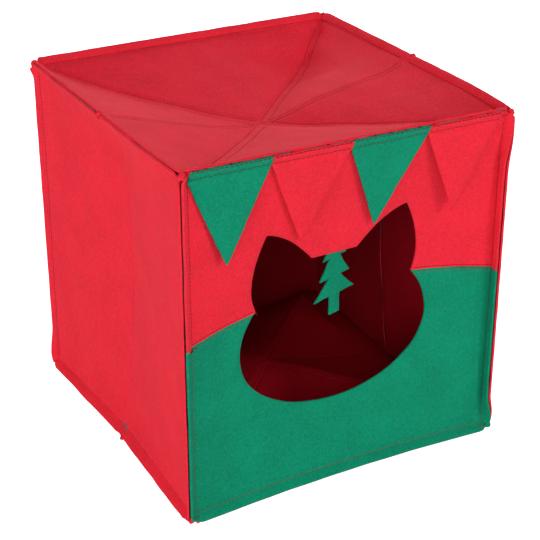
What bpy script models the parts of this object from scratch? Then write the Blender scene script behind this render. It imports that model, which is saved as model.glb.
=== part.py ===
"""Collapsible cat cave bed of thick felt, with a cat-head entrance, bunting and a hanging toy.

The frame is +Z up, with the entrance towards -Y and the origin on the floor under the middle.
The bed is a cube of felt panels sewn together with their raw edges turned outward. It folds
front to back: the side walls fold inward on their midlines, and the top and the floor fold
into the bed on their diagonals.
"""
import math

import bmesh
import bpy
from mathutils import Matrix, Vector

# Overall size, over the tips of the turned-out seams
WIDTH = 0.380
DEPTH = 0.380
HEIGHT = 0.388

# Felt, seams and wire
FELT = 0.0025
SEAM_LIP = 0.010
SEAM_HALF_OPENING = math.radians(12.5)
SEAM_LEAN = math.radians(45)
TOP_FRONT_LEAN = math.radians(25)
SEAM_CORNER_SETBACK = 0.012
SEAM_END_RADIUS = 0.006
SEAM_ROOT_GAP = 0.0007
WIRE_RADIUS = 0.00125
WIRE_FROM_ROOT = 0.0082
LOOP_CORNER_RADIUS = 0.016
FOOT_FLAT = 0.0008
CHANNEL_FELT = 0.0010
CHANNEL_SETBACK = 0.004
CLEARANCE = 0.0003

# Top and floor
CENTRE_SAG = 0.036
PANEL_SETBACK = 0.0021
TOP_FRONT_SETBACK = 0.0028
FLAP_TRIM = 0.0067
FLAP_TIP_SETBACK = 0.0180

# Front panel and the cat-head entrance
FRONT_DIP = 0.021
FRONT_DIP_POWER = 2.3
FRONT_CELLS = 16
SEAM_SIDE_HEIGHT = 0.2049
SEAM_RISE = 0.0159
ENTRANCE_X = -0.0084
HEAD_HALF_WIDTH = 0.1118
HEAD_CENTRE_HEIGHT = 0.1683
CHIN_DROP = 0.0764
CROWN_RISE = 0.0869
NOTCH_HEIGHT = 0.2169
EAR_TIP = (0.0812, 0.2985)
EAR_OUTER_PULL = (0.1067, 0.2504)
EAR_INNER_PULL = (0.0566, 0.2938)
LINTEL_HALF_WIDTH = 0.0264
LINTEL_HEIGHT = 0.2590

# Bunting
PENNANT_COUNT = 4
PENNANT_PITCH = 0.0881
PENNANT_DROP = 0.0940
PENNANT_FELT = 0.0020
PENNANT_GAP = 0.0006
PENNANT_START = 0.0022
PENNANT_TIP_SHIFTS = (-0.0073, -0.0081, -0.0117, -0.0122)
HEM_START = 0.0017
HEM_TOP_SETBACK = 0.0006
PENNANT_TIP_RADIUS = 0.0012
INNER_PENNANT_TILT = math.radians(8.0)
OUTER_PENNANT_TILT = math.radians(2.0)

# Fir-tree toy
TOY_X = -0.0017
TOY_FELT = 0.0025
TOY_YAW = math.radians(19)
TREE_TOP_HEIGHT = 0.2724
TREE_UPPER_HALF_WIDTH = 0.0181
TREE_UPPER_HEIGHT = 0.2483
TREE_MIDDLE_HALF_WIDTH = 0.0232
TREE_MIDDLE_HEIGHT = 0.2262
TREE_LOWER_HALF_WIDTH = 0.0309
TREE_LOWER_HEIGHT = 0.2055
TREE_TOP_HALF_WIDTH = 0.0016
TREE_TIP_RADIUS = 0.0012
TREE_WAIST_HALF = 0.0058
TREE_TIER_SLOPE_RISE = 0.0015
TRUNK_HALF_WIDTH = 0.0068
TRUNK_BOTTOM_HEIGHT = 0.1839
TOY_STANDOFF = 0.0080
TAB_WIDTH = 0.010
TAB_FELT = 0.0018
TAB_GAP = 0.0006
TAB_SEWN = 0.0060
TAB_RUN_RISE = 0.0022
TAB_END = 0.0012
TAB_HOLE_RADIUS = 0.0016
THREAD_RADIUS = 0.0006
LOOP_RADIUS = 0.0050
KNOT_RADIUS = 0.0020

# Colours
RED = (0.640, 0.021, 0.040, 1.0)
DEEP_RED = (0.520, 0.014, 0.030, 1.0)
GREEN = (0.004, 0.220, 0.120, 1.0)
WIRE_BLACK = (0.012, 0.012, 0.013, 1.0)
THREAD_RED = (0.380, 0.012, 0.022, 1.0)

# Worked out from the driving dimensions
OWN_ANGLE = SEAM_LEAN + SEAM_HALF_OPENING
LIP_REACH = SEAM_LIP * math.sin(OWN_ANGLE) + FELT * math.cos(OWN_ANGLE)
HALF_X = WIDTH / 2 - LIP_REACH
HALF_Y = DEPTH / 2 - LIP_REACH
FLOOR_Z = LIP_REACH - FOOT_FLAT
TOP_Z = HEIGHT - LIP_REACH
MID_Z = (FLOOR_Z + TOP_Z) / 2
HALF_Z = (TOP_Z - FLOOR_Z) / 2
SAG_SLOPE_X = CENTRE_SAG / HALF_X
SAG_SLOPE_Y = CENTRE_SAG / HALF_Y


def clear_scene():
    """Remove whatever objects the file opened with."""
    for thing in list(bpy.data.objects):
        bpy.data.objects.remove(thing, do_unlink=True)


def felt(name, colour, roughness=0.95, metallic=0.0):
    """A plain finish for one sub-part."""
    material = bpy.data.materials.new(name)
    material.use_nodes = True
    shader = material.node_tree.nodes["Principled BSDF"]
    shader.inputs["Base Color"].default_value = colour
    shader.inputs["Roughness"].default_value = roughness
    shader.inputs["Metallic"].default_value = metallic
    return material


def add_object(name, mesh, colour, roughness=0.95, metallic=0.0, smooth=False):
    """Put a mesh in the scene as one named sub-part with its own material."""
    thing = bpy.data.objects.new(name, mesh)
    bpy.context.scene.collection.objects.link(thing)
    mesh.materials.append(felt(name + "_finish", colour, roughness, metallic))
    if smooth:
        mesh.shade_smooth()
        mesh.set_sharp_from_angle(angle=math.radians(40))
    return thing


def mesh_from(name, points, faces):
    """A closed mesh with its faces turned outward."""
    shape = bmesh.new()
    corners = [shape.verts.new(point) for point in points]
    for face in faces:
        shape.faces.new([corners[index] for index in face])
    bmesh.ops.recalc_face_normals(shape, faces=shape.faces)
    mesh = bpy.data.meshes.new(name)
    shape.to_mesh(mesh)
    shape.free()
    return mesh


def sheet_mesh(name, outline, origin, along, outward, normal, thickness):
    """A flat piece of felt: an outline in two directions, thickened along a third."""
    near = [origin + along * a + outward * b for a, b in outline]
    far = [point + normal * thickness for point in near]
    count = len(outline)
    faces = [list(range(count)), [index + count for index in range(count)]]
    for index in range(count):
        after = (index + 1) % count
        faces.append([index, after, after + count, index + count])
    return mesh_from(name, near + far, faces)


def rounded_outline(corners, radii, steps=4):
    """A polygon whose corners are rounded, each by its own radius, nought for a sharp one."""
    outline = []
    count = len(corners)
    for index, corner in enumerate(corners):
        radius = radii[index]
        here = Vector(corner)
        if radius <= 0:
            outline.append(tuple(here))
            continue
        before = (Vector(corners[index - 1]) - here).normalized()
        after = (Vector(corners[(index + 1) % count]) - here).normalized()
        half = before.angle(after) / 2
        reach = radius / math.tan(half)
        centre = here + (before + after).normalized() * (radius / math.sin(half))
        first = here + before * reach - centre
        last = here + after * reach - centre
        turn = first.angle_signed(last)
        for step in range(steps + 1):
            angle = -turn * step / steps
            spot = Matrix.Rotation(angle, 2) @ first + centre
            outline.append(tuple(spot))
    return outline


def bezier(start, pull, end, steps):
    """Points of a quadratic curve, without its first point."""
    points = []
    for step in range(1, steps + 1):
        t = step / steps
        across = (1 - t) ** 2 * start[0] + 2 * t * (1 - t) * pull[0] + t * t * end[0]
        height = (1 - t) ** 2 * start[1] + 2 * t * (1 - t) * pull[1] + t * t * end[1]
        points.append((across, height))
    return points


def join_onto(base, pieces):
    """Join pieces onto a base by a Boolean union, then drop the loose copies."""
    for piece in pieces:
        union = base.modifiers.new("union", "BOOLEAN")
        union.operation = "UNION"
        union.solver = "EXACT"
        union.object = piece
    apply_modifiers(base)
    for piece in pieces:
        bpy.data.objects.remove(piece, do_unlink=True)


def apply_modifiers(thing):
    """Replace an object's mesh by its evaluated one."""
    view = bpy.context.view_layer
    view.update()
    evaluated = thing.evaluated_get(bpy.context.evaluated_depsgraph_get())
    mesh = bpy.data.meshes.new_from_object(evaluated)
    thing.modifiers.clear()
    thing.data = mesh


def cut_with(thing, cutter, operation="DIFFERENCE"):
    """Cut one object with another, then drop the cutter."""
    cutter.hide_render = True
    cutter.display_type = "WIRE"
    cut = thing.modifiers.new("cut", "BOOLEAN")
    cut.operation = operation
    cut.solver = "EXACT"
    cut.object = cutter
    apply_modifiers(thing)
    bpy.data.objects.remove(cutter, do_unlink=True)


def tidy_mesh(thing):
    """Merge doubled points and dissolve flat joins left by a Boolean."""
    shape = bmesh.new()
    shape.from_mesh(thing.data)
    bmesh.ops.remove_doubles(shape, verts=shape.verts, dist=0.00001)
    bmesh.ops.dissolve_degenerate(shape, edges=shape.edges, dist=0.00001)
    bmesh.ops.recalc_face_normals(shape, faces=shape.faces)
    shape.to_mesh(thing.data)
    shape.free()


class Edge:
    """One seam of the cube: where its two inner faces meet, and the directions in which they run on."""

    def __init__(self, root, along, own, other, lean=SEAM_LEAN):
        self.root = Vector(root)
        self.along = Vector(along)
        self.own = Vector(own)
        self.other = Vector(other)
        self.own_angle = lean + SEAM_HALF_OPENING
        self.other_angle = lean - SEAM_HALF_OPENING

    def direction(self, angle):
        """The way a lip points, turned from the owning panel's own direction."""
        return self.own * math.cos(angle) + self.other * math.sin(angle)

    def lip(self, name, start, end, owned, round_start=True, round_end=True, trim=0.0):
        """A strip of felt turned outward along the seam, with rounded outer corners."""
        angle = self.own_angle if owned else self.other_angle
        outward = self.direction(angle)
        side = 1 if owned else -1
        normal = self.direction(angle + side * math.pi / 2)
        first = 0.0 if owned else SEAM_ROOT_GAP
        tip = SEAM_LIP - trim
        corners = [(start, first), (end, first), (end, tip), (start, tip)]
        radii = [0, 0, SEAM_END_RADIUS * round_end, SEAM_END_RADIUS * round_start]
        outline = rounded_outline(corners, radii)
        return sheet_mesh(name, outline, self.root, self.along, outward, normal, FELT)

    def wire_spot(self, distance):
        """A point on the wire's axis, part way between the two lips."""
        middle = (self.own_angle + self.other_angle) / 2
        return self.root + self.along * distance + self.direction(middle) * WIRE_FROM_ROOT


def seam_edges():
    """The seams that run round the front and the rear, and the four from front to rear."""
    x, y, z = Vector((1, 0, 0)), Vector((0, 1, 0)), Vector((0, 0, 1))
    edges = {}
    for name, sign in (("front", -1), ("rear", 1)):
        face = y * sign
        lean = TOP_FRONT_LEAN if name == "front" else SEAM_LEAN
        edges[name, "left"] = Edge((-HALF_X, sign * HALF_Y, 0), z, -x, face)
        edges[name, "right"] = Edge((HALF_X, sign * HALF_Y, 0), z, x, face)
        edges[name, "top"] = Edge((0, sign * HALF_Y, TOP_Z), x, z, face, lean)
        edges[name, "floor"] = Edge((0, sign * HALF_Y, FLOOR_Z), x, -z, face)
    for name, sign in (("left", -1), ("right", 1)):
        edges[name, "top"] = Edge((sign * HALF_X, 0, TOP_Z), y, z, x * sign)
        edges[name, "floor"] = Edge((sign * HALF_X, 0, FLOOR_Z), y, -z, x * sign)
    return edges


EDGES = seam_edges()


def cut_foot(thing):
    """Trim what hangs below the ground plane, which leaves the flat that the bed rests on."""
    slab = bmesh.new()
    bmesh.ops.create_cube(slab, size=1.0)
    bmesh.ops.translate(slab, verts=slab.verts, vec=(0, 0, -0.5))
    mesh = bpy.data.meshes.new("foot_cutter")
    slab.to_mesh(mesh)
    slab.free()
    cutter = bpy.data.objects.new("foot_cutter", mesh)
    bpy.context.scene.collection.objects.link(cutter)
    cut_with(thing, cutter)
    tidy_mesh(thing)


def front_dip(x, z):
    """How far the front panel bows into the bed at a place on it."""
    across = max(0.0, 1 - abs(x / HALF_X) ** FRONT_DIP_POWER)
    up = max(0.0, 1 - ((z - MID_Z) / HALF_Z) ** 2)
    return FRONT_DIP * across * up


def seam_height(x):
    """Height of the arched seam between the red and the green felt of the front."""
    return SEAM_SIDE_HEIGHT + SEAM_RISE * (1 - (x / HALF_X) ** 2)


def dipped_sheet(name):
    """The whole front as a thick grid that bows inward, before it is cut to shape."""
    cells = FRONT_CELLS
    points = []
    for back in (0, 1):
        for row in range(cells + 1):
            for column in range(cells + 1):
                x = -HALF_X + 2 * HALF_X * column / cells
                z = FLOOR_Z + (TOP_Z - FLOOR_Z) * row / cells
                y = -HALF_Y - FELT * (1 - back) + front_dip(x, z)
                points.append(Vector((x, y, z)))
    faces = []
    layer = (cells + 1) ** 2
    for row in range(cells):
        for column in range(cells):
            corner = row * (cells + 1) + column
            ring = [corner, corner + 1, corner + cells + 2, corner + cells + 1]
            faces.append([ring[0], ring[1], ring[2]])
            faces.append([ring[0], ring[2], ring[3]])
            faces.append([index + layer for index in (ring[0], ring[1], ring[2])])
            faces.append([index + layer for index in (ring[0], ring[2], ring[3])])
    rim = [column for column in range(cells)]
    rim += [row * (cells + 1) + cells for row in range(cells)]
    rim += [(cells + 1) * cells + column for column in range(cells, 0, -1)]
    rim += [row * (cells + 1) for row in range(cells, 0, -1)]
    for index, corner in enumerate(rim):
        after = rim[(index + 1) % len(rim)]
        faces.append([corner, after, after + layer, corner + layer])
    return mesh_from(name, points, faces)


def notch_half_width():
    """Half the entrance's width where the ears meet the cheeks."""
    rise = (NOTCH_HEIGHT - HEAD_CENTRE_HEIGHT) / CROWN_RISE
    return HEAD_HALF_WIDTH * math.sqrt(1 - rise * rise)


def ear_outline():
    """Half of the entrance above the notch: the ear, up from the notch and down to the lintel."""
    notch = (notch_half_width(), NOTCH_HEIGHT)
    lintel = (LINTEL_HALF_WIDTH, LINTEL_HEIGHT)
    outer = bezier(notch, EAR_OUTER_PULL, EAR_TIP, 6)
    inner = bezier(EAR_TIP, EAR_INNER_PULL, lintel, 6)
    return [notch] + outer + inner


def cheek_outline():
    """Half of the entrance below the notch: round the cheek to the middle of the chin."""
    points = []
    steps = 14
    start = math.asin((NOTCH_HEIGHT - HEAD_CENTRE_HEIGHT) / CROWN_RISE)
    for step in range(steps + 1):
        angle = start + (-math.pi / 2 - start) * step / steps
        drop = CROWN_RISE if angle > 0 else CHIN_DROP
        across = HEAD_HALF_WIDTH * math.cos(angle)
        points.append((across, HEAD_CENTRE_HEIGHT + drop * math.sin(angle)))
    return points


def mirrored(half):
    """A half outline and its mirror image, placed on the entrance's centre line."""
    left = [(ENTRANCE_X - across, height) for across, height in reversed(half)]
    right = [(ENTRANCE_X + across, height) for across, height in half]
    return left, right


def seam_points(low_x, high_x, lift, steps=5):
    """Points along the arched seam between two places, not counting its ends."""
    points = []
    for step in range(1, steps):
        x = low_x + (high_x - low_x) * step / steps
        points.append((x, seam_height(x) + lift))
    return points


def front_cutter(name, upper):
    """The outline of the red or of the green part of the front, as a deep block."""
    beyond = 0.005
    lift = CLEARANCE / 2 if upper else -CLEARANCE / 2
    edge = HALF_X + beyond
    notch = notch_half_width()
    left_notch = ENTRANCE_X - notch
    right_notch = ENTRANCE_X + notch
    outline = [(-edge, seam_height(-edge) + lift)]
    outline += seam_points(-edge, left_notch, lift)
    outline.append((left_notch, NOTCH_HEIGHT + lift))
    if upper:
        left, right = mirrored(ear_outline()[1:])
        outline += left[::-1] + right[::-1]
    else:
        left, right = mirrored(cheek_outline()[1:-1])
        outline += left[::-1] + [(ENTRANCE_X, HEAD_CENTRE_HEIGHT - CHIN_DROP)] + right[::-1]
    outline.append((right_notch, NOTCH_HEIGHT + lift))
    outline += seam_points(right_notch, edge, lift)
    outline.append((edge, seam_height(edge) + lift))
    far = TOP_Z + beyond if upper else FLOOR_Z - beyond
    outline += [(edge, far), (-edge, far)]
    x, y, z = Vector((1, 0, 0)), Vector((0, 1, 0)), Vector((0, 0, 1))
    mesh = sheet_mesh(name, outline, Vector((0, -HALF_Y - 0.02, 0)), x, z, y, 0.08)
    return add_object(name, mesh, RED)


def front_panel(name, upper, colour):
    """The red or the green part of the front, with its own turned-out edges."""
    panel = add_object(name, dipped_sheet(name), colour)
    cut_with(panel, front_cutter(name + "_outline", upper), "INTERSECT")
    seam = seam_height(HALF_X)
    if upper:
        spans = [("left", seam + CLEARANCE / 2, TOP_Z - SEAM_CORNER_SETBACK)]
        spans.append(("right", seam + CLEARANCE / 2, TOP_Z - SEAM_CORNER_SETBACK))
        across = ("top", -HALF_X + SEAM_CORNER_SETBACK, HALF_X - SEAM_CORNER_SETBACK)
    else:
        spans = [("left", FLOOR_Z + SEAM_CORNER_SETBACK, seam - CLEARANCE / 2)]
        spans.append(("right", FLOOR_Z + SEAM_CORNER_SETBACK, seam - CLEARANCE / 2))
        across = ("floor", -HALF_X + SEAM_CORNER_SETBACK, HALF_X - SEAM_CORNER_SETBACK)
    lips = []
    for side, low, high in spans:
        edge = EDGES["front", side]
        mesh = edge.lip(name + side, low, high, True, not upper, upper)
        lips.append(add_object(name + side, mesh, colour))
    edge = EDGES["front", across[0]]
    mesh = edge.lip(name + "across", across[1], across[2], True)
    lips.append(add_object(name + "across", mesh, colour))
    join_onto(panel, lips)
    tidy_mesh(panel)
    if not upper:
        cut_foot(panel)


def rear_panel():
    """The plain rear panel with its turned-out edges."""
    x, y, z = Vector((1, 0, 0)), Vector((0, 1, 0)), Vector((0, 0, 1))
    outline = [(-HALF_X, FLOOR_Z), (HALF_X, FLOOR_Z), (HALF_X, TOP_Z), (-HALF_X, TOP_Z)]
    mesh = sheet_mesh("rear_panel", outline, y * HALF_Y, x, z, y, FELT)
    panel = add_object("rear_panel", mesh, RED)
    lips = []
    for side in ("left", "right", "top", "floor"):
        low, high = edge_span("rear", side)
        mesh = EDGES["rear", side].lip("rear_" + side, low, high, True)
        lips.append(add_object("rear_lip_" + side, mesh, RED))
    join_onto(panel, lips)
    tidy_mesh(panel)
    cut_foot(panel)


def edge_span(face, side):
    """Where a front or rear seam's lips start and end, clear of the corners."""
    if side in ("left", "right"):
        return FLOOR_Z + SEAM_CORNER_SETBACK, TOP_Z - SEAM_CORNER_SETBACK
    return -HALF_X + SEAM_CORNER_SETBACK, HALF_X - SEAM_CORNER_SETBACK


def neighbour_lips(face):
    """The turned-out edges of the walls, top and floor that are sewn to the front or the rear."""
    names = {"left": "left_wall", "right": "right_wall", "top": "top", "floor": "floor"}
    for side, owner in names.items():
        low, high = edge_span(face, side)
        name = owner + "_" + face + "_lip"
        piece = add_object(name, EDGES[face, side].lip(name, low, high, False), RED)
        if side == "floor":
            cut_foot(piece)


def tube(name, points, radius, closed, colour, roughness, metallic, resolution=2):
    """A round wire or thread along a list of points."""
    curve = bpy.data.curves.new(name, "CURVE")
    curve.dimensions = "3D"
    curve.bevel_depth = radius
    curve.bevel_resolution = resolution
    curve.use_fill_caps = not closed
    spline = curve.splines.new("POLY")
    spline.points.add(len(points) - 1)
    for spot, point in zip(spline.points, points):
        spot.co = (point[0], point[1], point[2], 1)
    spline.use_cyclic_u = closed
    thing = bpy.data.objects.new(name, curve)
    bpy.context.scene.collection.objects.link(thing)
    curve.materials.append(felt(name + "_finish", colour, roughness, metallic))
    return thing


def frame_wire(face):
    """The closed wire that stiffens the front or the rear, between the two layers of the seam."""
    sides = {side: EDGES[face, side].wire_spot(0) for side in ("left", "right", "top", "floor")}
    left, right = sides["left"], sides["right"]
    top, floor = sides["top"], sides["floor"]
    corners = [(left, top), (left, floor), (right, floor), (right, top)]
    radius = LOOP_CORNER_RADIUS
    points = []
    for number, (upright, level) in enumerate(corners):
        toward_x = 1 if upright is left else -1
        toward_z = -1 if level is top else 1
        for step in range(5):
            turn = math.radians(90) * step / 4
            if number % 2 == 0:
                turn = math.radians(90) - turn
            x = upright.x + toward_x * radius * (1 - math.cos(turn))
            z = level.z + toward_z * radius * (1 - math.sin(turn))
            share = math.sin(turn) ** 2
            y = upright.y * (1 - share) + level.y * share
            points.append((x, y, z))
    tube(face + "_frame_wire", points, WIRE_RADIUS, True, WIRE_BLACK, 0.45, 0.0)


def channel_mesh(name, side, face):
    """The sewn channel down a half wall's midline end, an open felt arch over the upright wire."""
    sign_x = -1 if side == "left" else 1
    sign_y = -1 if face == "front" else 1
    outer = WIRE_RADIUS + CLEARANCE + CHANNEL_FELT
    inner = WIRE_RADIUS + CLEARANCE
    middle = CLEARANCE / 2 + outer
    lift = CLEARANCE + WIRE_RADIUS
    outline = [(middle - outer, CLEARANCE)]
    for step in range(9):
        angle = math.pi - math.pi * step / 8
        outline.append((middle + outer * math.cos(angle), lift + outer * math.sin(angle)))
    outline += [(middle + outer, CLEARANCE), (middle + inner, CLEARANCE)]
    for step in range(9):
        angle = math.pi * step / 8
        outline.append((middle + inner * math.cos(angle), lift + inner * math.sin(angle)))
    outline.append((middle - inner, CLEARANCE))
    base = Vector((sign_x * (HALF_X + FELT), 0, FLOOR_Z + CHANNEL_SETBACK))
    across = Vector((0, sign_y, 0))
    outward = Vector((sign_x, 0, 0))
    length = TOP_Z - FLOOR_Z - 2 * CHANNEL_SETBACK
    return sheet_mesh(name, outline, base, across, outward, Vector((0, 0, 1)), length)


def wall_wire(side, face, lip_start):
    """The U-shaped wire of a half wall: along the top seam, down the midline and along the floor seam."""
    sign_x = -1 if side == "left" else 1
    sign_y = -1 if face == "front" else 1
    upright_x = sign_x * (HALF_X + FELT + CLEARANCE + WIRE_RADIUS)
    upright_y = sign_y * (CLEARANCE / 2 + WIRE_RADIUS + CLEARANCE + CHANNEL_FELT)
    far_y = sign_y * (HALF_Y - SEAM_CORNER_SETBACK - 0.002)
    near_y = sign_y * (lip_start - 0.0004)
    points = []
    for level in ("top", "floor"):
        spot = EDGES[side, level].wire_spot(0)
        up = 1 if level == "top" else -1
        seam_z = TOP_Z if level == "top" else FLOOR_Z
        bend = [(spot.x, far_y, spot.z), (spot.x, near_y, spot.z)]
        bend.append((spot.x, (near_y + upright_y) / 2, spot.z - up * 0.0007))
        bend.append(((spot.x + upright_x) / 2, upright_y, spot.z - up * 0.0030))
        bend.append((upright_x, upright_y, seam_z - up * 0.0015))
        points += bend if level == "top" else bend[::-1]
    name = side + "_" + face + "_wire"
    tube(name, points, WIRE_RADIUS, False, WIRE_BLACK, 0.45, 0.0)


def half_wall(side, face):
    """One half of a side wall, from the midline to the front or the rear seam."""
    sign_x = -1 if side == "left" else 1
    sign_y = -1 if face == "front" else 1
    name = side + "_" + face + "_wall"
    x, y, z = Vector((sign_x, 0, 0)), Vector((0, sign_y, 0)), Vector((0, 0, 1))
    near = CLEARANCE / 2
    far = HALF_Y - PANEL_SETBACK
    outline = [(near, FLOOR_Z), (far, FLOOR_Z), (far, TOP_Z), (near, TOP_Z)]
    mesh = sheet_mesh(name, outline, x * HALF_X, y, z, x, FELT)
    wall = add_object(name, mesh, RED)
    lip_start = near + 2 * (WIRE_RADIUS + CLEARANCE + CHANNEL_FELT) + CLEARANCE
    span = sorted((sign_y * lip_start, sign_y * (HALF_Y - SEAM_CORNER_SETBACK)))
    lips = []
    for level in ("top", "floor"):
        edge = EDGES[side, level]
        at_front = face == "front"
        own = edge.lip(name + level, span[0], span[1], True, at_front, not at_front)
        lips.append(add_object(name + "_own_" + level, own, RED))
        lip_name = level + "_" + side + "_" + face + "_lip"
        other = edge.lip(lip_name, span[0], span[1], False, at_front, not at_front)
        strip = add_object(lip_name, other, RED)
        if level == "floor":
            cut_foot(strip)
    join_onto(wall, lips)
    tidy_mesh(wall)
    cut_foot(wall)
    channel = side + "_" + face + "_channel"
    add_object(channel, channel_mesh(channel, side, face), RED)
    wall_wire(side, face, lip_start)


def sagging_height(x, y, level):
    """Height of the inner face of the top or the floor, which both draw in towards the centre."""
    inward = min((HALF_X - abs(x)) * SAG_SLOPE_X, (HALF_Y - abs(y)) * SAG_SLOPE_Y)
    return TOP_Z - inward if level == "top" else FLOOR_Z + inward


def sagging_mesh(name, plan, patches, level):
    """A piece of the top or the floor: plan points set at the sagging height, then thickened."""
    slope = math.cos(math.atan(SAG_SLOPE_X))
    rise = FELT / slope if level == "top" else -FELT / slope
    inner = [Vector((x, y, sagging_height(x, y, level))) for x, y in plan]
    outer = [point + Vector((0, 0, rise)) for point in inner]
    count = len(plan)
    faces = []
    for patch in patches:
        faces.append(list(patch))
        faces.append([index + count for index in patch])
    for index in range(count):
        after = (index + 1) % count
        faces.append([index, after, after + count, index + count])
    return mesh_from(name, inner + outer, faces)


def seam_setback(level, face):
    """How far the top and the floor stay back from the seam, more where its edge stands upright."""
    return TOP_FRONT_SETBACK if level == "top" and face == "front" else PANEL_SETBACK


def flap(level, face):
    """The triangular part of the top or the floor that hinges on the front or the rear seam."""
    sign_y = -1 if face == "front" else 1
    aspect = HALF_X / HALF_Y
    trim = (FLAP_TRIM + CLEARANCE) * math.sqrt(2)
    base_y = HALF_Y - seam_setback(level, face)
    tip_x = HALF_X - FLAP_TIP_SETBACK
    meet_y = base_y - (FLAP_TIP_SETBACK - trim)
    meet_x = (meet_y - trim) * aspect
    plan = [(-tip_x, base_y), (tip_x, base_y), (meet_x, meet_y), (0, trim), (-meet_x, meet_y)]
    plan = [(x, sign_y * y) for x, y in plan]
    name = level + "_" + face + "_flap"
    add_object(name, sagging_mesh(name, plan, [range(len(plan))], level), RED)


def gore(level, side, face):
    """The part of the top or the floor that hinges on a half wall, folded over the diagonal."""
    sign_x = -1 if side == "left" else 1
    sign_y = -1 if face == "front" else 1
    aspect = HALF_X / HALF_Y
    trim = FLAP_TRIM * math.sqrt(2)
    near = CLEARANCE / 2
    edge_x = HALF_X - PANEL_SETBACK
    edge_y = HALF_Y - seam_setback(level, face)
    tip_x = HALF_X - FLAP_TIP_SETBACK + CLEARANCE
    meet_y = edge_y - (FLAP_TIP_SETBACK - (FLAP_TRIM + CLEARANCE) * math.sqrt(2))
    meet_x = (meet_y - trim) * aspect
    plan = [(edge_x, near), (edge_x, edge_y), (tip_x, edge_y), (meet_x, meet_y)]
    plan += [(near, near + trim), (near, near)]
    plan = [(sign_x * x, sign_y * y) for x, y in plan]
    patches = [(0, 1, 5), (1, 2, 3, 4, 5)]
    name = level + "_" + side + "_" + face + "_gore"
    add_object(name, sagging_mesh(name, plan, patches, level), RED)


def bend_spot():
    """Where the front's outer face turns out into its top lip, which the bunting is sewn along."""
    angle = TOP_FRONT_LEAN + SEAM_HALF_OPENING
    return Vector((0, -HALF_Y - FELT, TOP_Z - FELT * math.tan(angle / 2)))


def pennant(number):
    """One pennant of the bunting, and the hem of it that is sewn up the front's top lip."""
    colour = GREEN if number % 2 == 0 else RED
    centre = (number - (PENNANT_COUNT - 1) / 2) * PENNANT_PITCH
    half = PENNANT_PITCH / 2 - CLEARANCE / 2
    first = number == 0
    last = number == PENNANT_COUNT - 1
    tilt = OUTER_PENNANT_TILT if first or last else INNER_PENNANT_TILT
    x = Vector((1, 0, 0))
    angle = TOP_FRONT_LEAN + SEAM_HALF_OPENING
    up_lip = Vector((0, -math.sin(angle), math.cos(angle)))
    lip_out = Vector((0, -math.cos(angle), -math.sin(angle)))
    bend = bend_spot() + x * centre
    hem_name = "pennant_" + str(number + 1) + "_hem"
    high = SEAM_LIP - HEM_TOP_SETBACK
    hem = [(-half, HEM_START), (half, HEM_START), (half, high), (-half, high)]
    cuts = [0, 0, SEAM_END_RADIUS * last, SEAM_END_RADIUS * first]
    outline = rounded_outline(hem, cuts)
    base = bend + lip_out * CLEARANCE
    add_object(hem_name, sheet_mesh(hem_name, outline, base, x, up_lip, lip_out, PENNANT_FELT), colour)
    down = Vector((0, math.sin(tilt), -math.cos(tilt)))
    out = Vector((0, -math.cos(tilt), -math.sin(tilt)))
    fan = [(-half, PENNANT_START), (half, PENNANT_START), (PENNANT_TIP_SHIFTS[number], PENNANT_DROP)]
    outline = rounded_outline(fan, [0, 0, PENNANT_TIP_RADIUS])
    base = bend + Vector((0, -PENNANT_GAP, 0))
    name = "pennant_" + str(number + 1)
    add_object(name, sheet_mesh(name, outline, base, x, down, out, PENNANT_FELT), colour)


def toy_plane_y():
    """Middle plane of the hanging toy, just behind the bowed front panel's lintel."""
    return -HALF_Y + front_dip(0, LINTEL_HEIGHT) + TOY_STANDOFF


def ribbon_profile(points, thickness):
    """Outline of a bent strip seen from its edge, with mitred corners."""
    left, right = [], []
    for index, point in enumerate(points):
        here = Vector(point)
        before = here - Vector(points[index - 1]) if index else None
        after = Vector(points[index + 1]) - here if index < len(points) - 1 else None
        before = (before or after).normalized()
        after = (after or before).normalized()
        middle = (before + after).normalized()
        across = Vector((-middle.y, middle.x)) * (thickness / 2 / middle.dot(before))
        left.append(tuple(here + across))
        right.append(tuple(here - across))
    return left + right[::-1]


def toy_tab():
    """The small bent strip of felt behind the lintel that the toy's thread is tied through."""
    plane = toy_plane_y()
    stand_off = TAB_GAP + TAB_FELT / 2
    hole = loop_top_height()
    run_height = hole + TAB_HOLE_RADIUS + TAB_RUN_RISE
    sewn_top = -HALF_Y + front_dip(TOY_X, run_height + TAB_SEWN) + stand_off
    sewn_low = -HALF_Y + front_dip(TOY_X, run_height) + stand_off
    spine = [(sewn_top, run_height + TAB_SEWN), (sewn_low, run_height), (plane, run_height)]
    spine.append((plane, hole - TAB_HOLE_RADIUS - TAB_END))
    outline = ribbon_profile(spine, TAB_FELT)
    x, y, z = Vector((1, 0, 0)), Vector((0, 1, 0)), Vector((0, 0, 1))
    base = x * (TOY_X - TAB_WIDTH / 2)
    tab = add_object("toy_tab", sheet_mesh("toy_tab", outline, base, y, z, x, TAB_WIDTH), RED)
    ring = bmesh.new()
    bmesh.ops.create_cone(ring, cap_ends=True, segments=12, radius1=TAB_HOLE_RADIUS,
                          radius2=TAB_HOLE_RADIUS, depth=TAB_FELT * 3)
    mesh = bpy.data.meshes.new("tab_hole")
    ring.to_mesh(mesh)
    ring.free()
    cutter = bpy.data.objects.new("tab_hole", mesh)
    bpy.context.scene.collection.objects.link(cutter)
    cutter.rotation_euler = (math.pi / 2, 0, 0)
    cutter.location = (TOY_X, plane, hole)
    cut_with(tab, cutter)
    tidy_mesh(tab)


def knot_height():
    """Height of the knot's centre, just above the top of the tree."""
    return TREE_TOP_HEIGHT + CLEARANCE + KNOT_RADIUS


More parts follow.
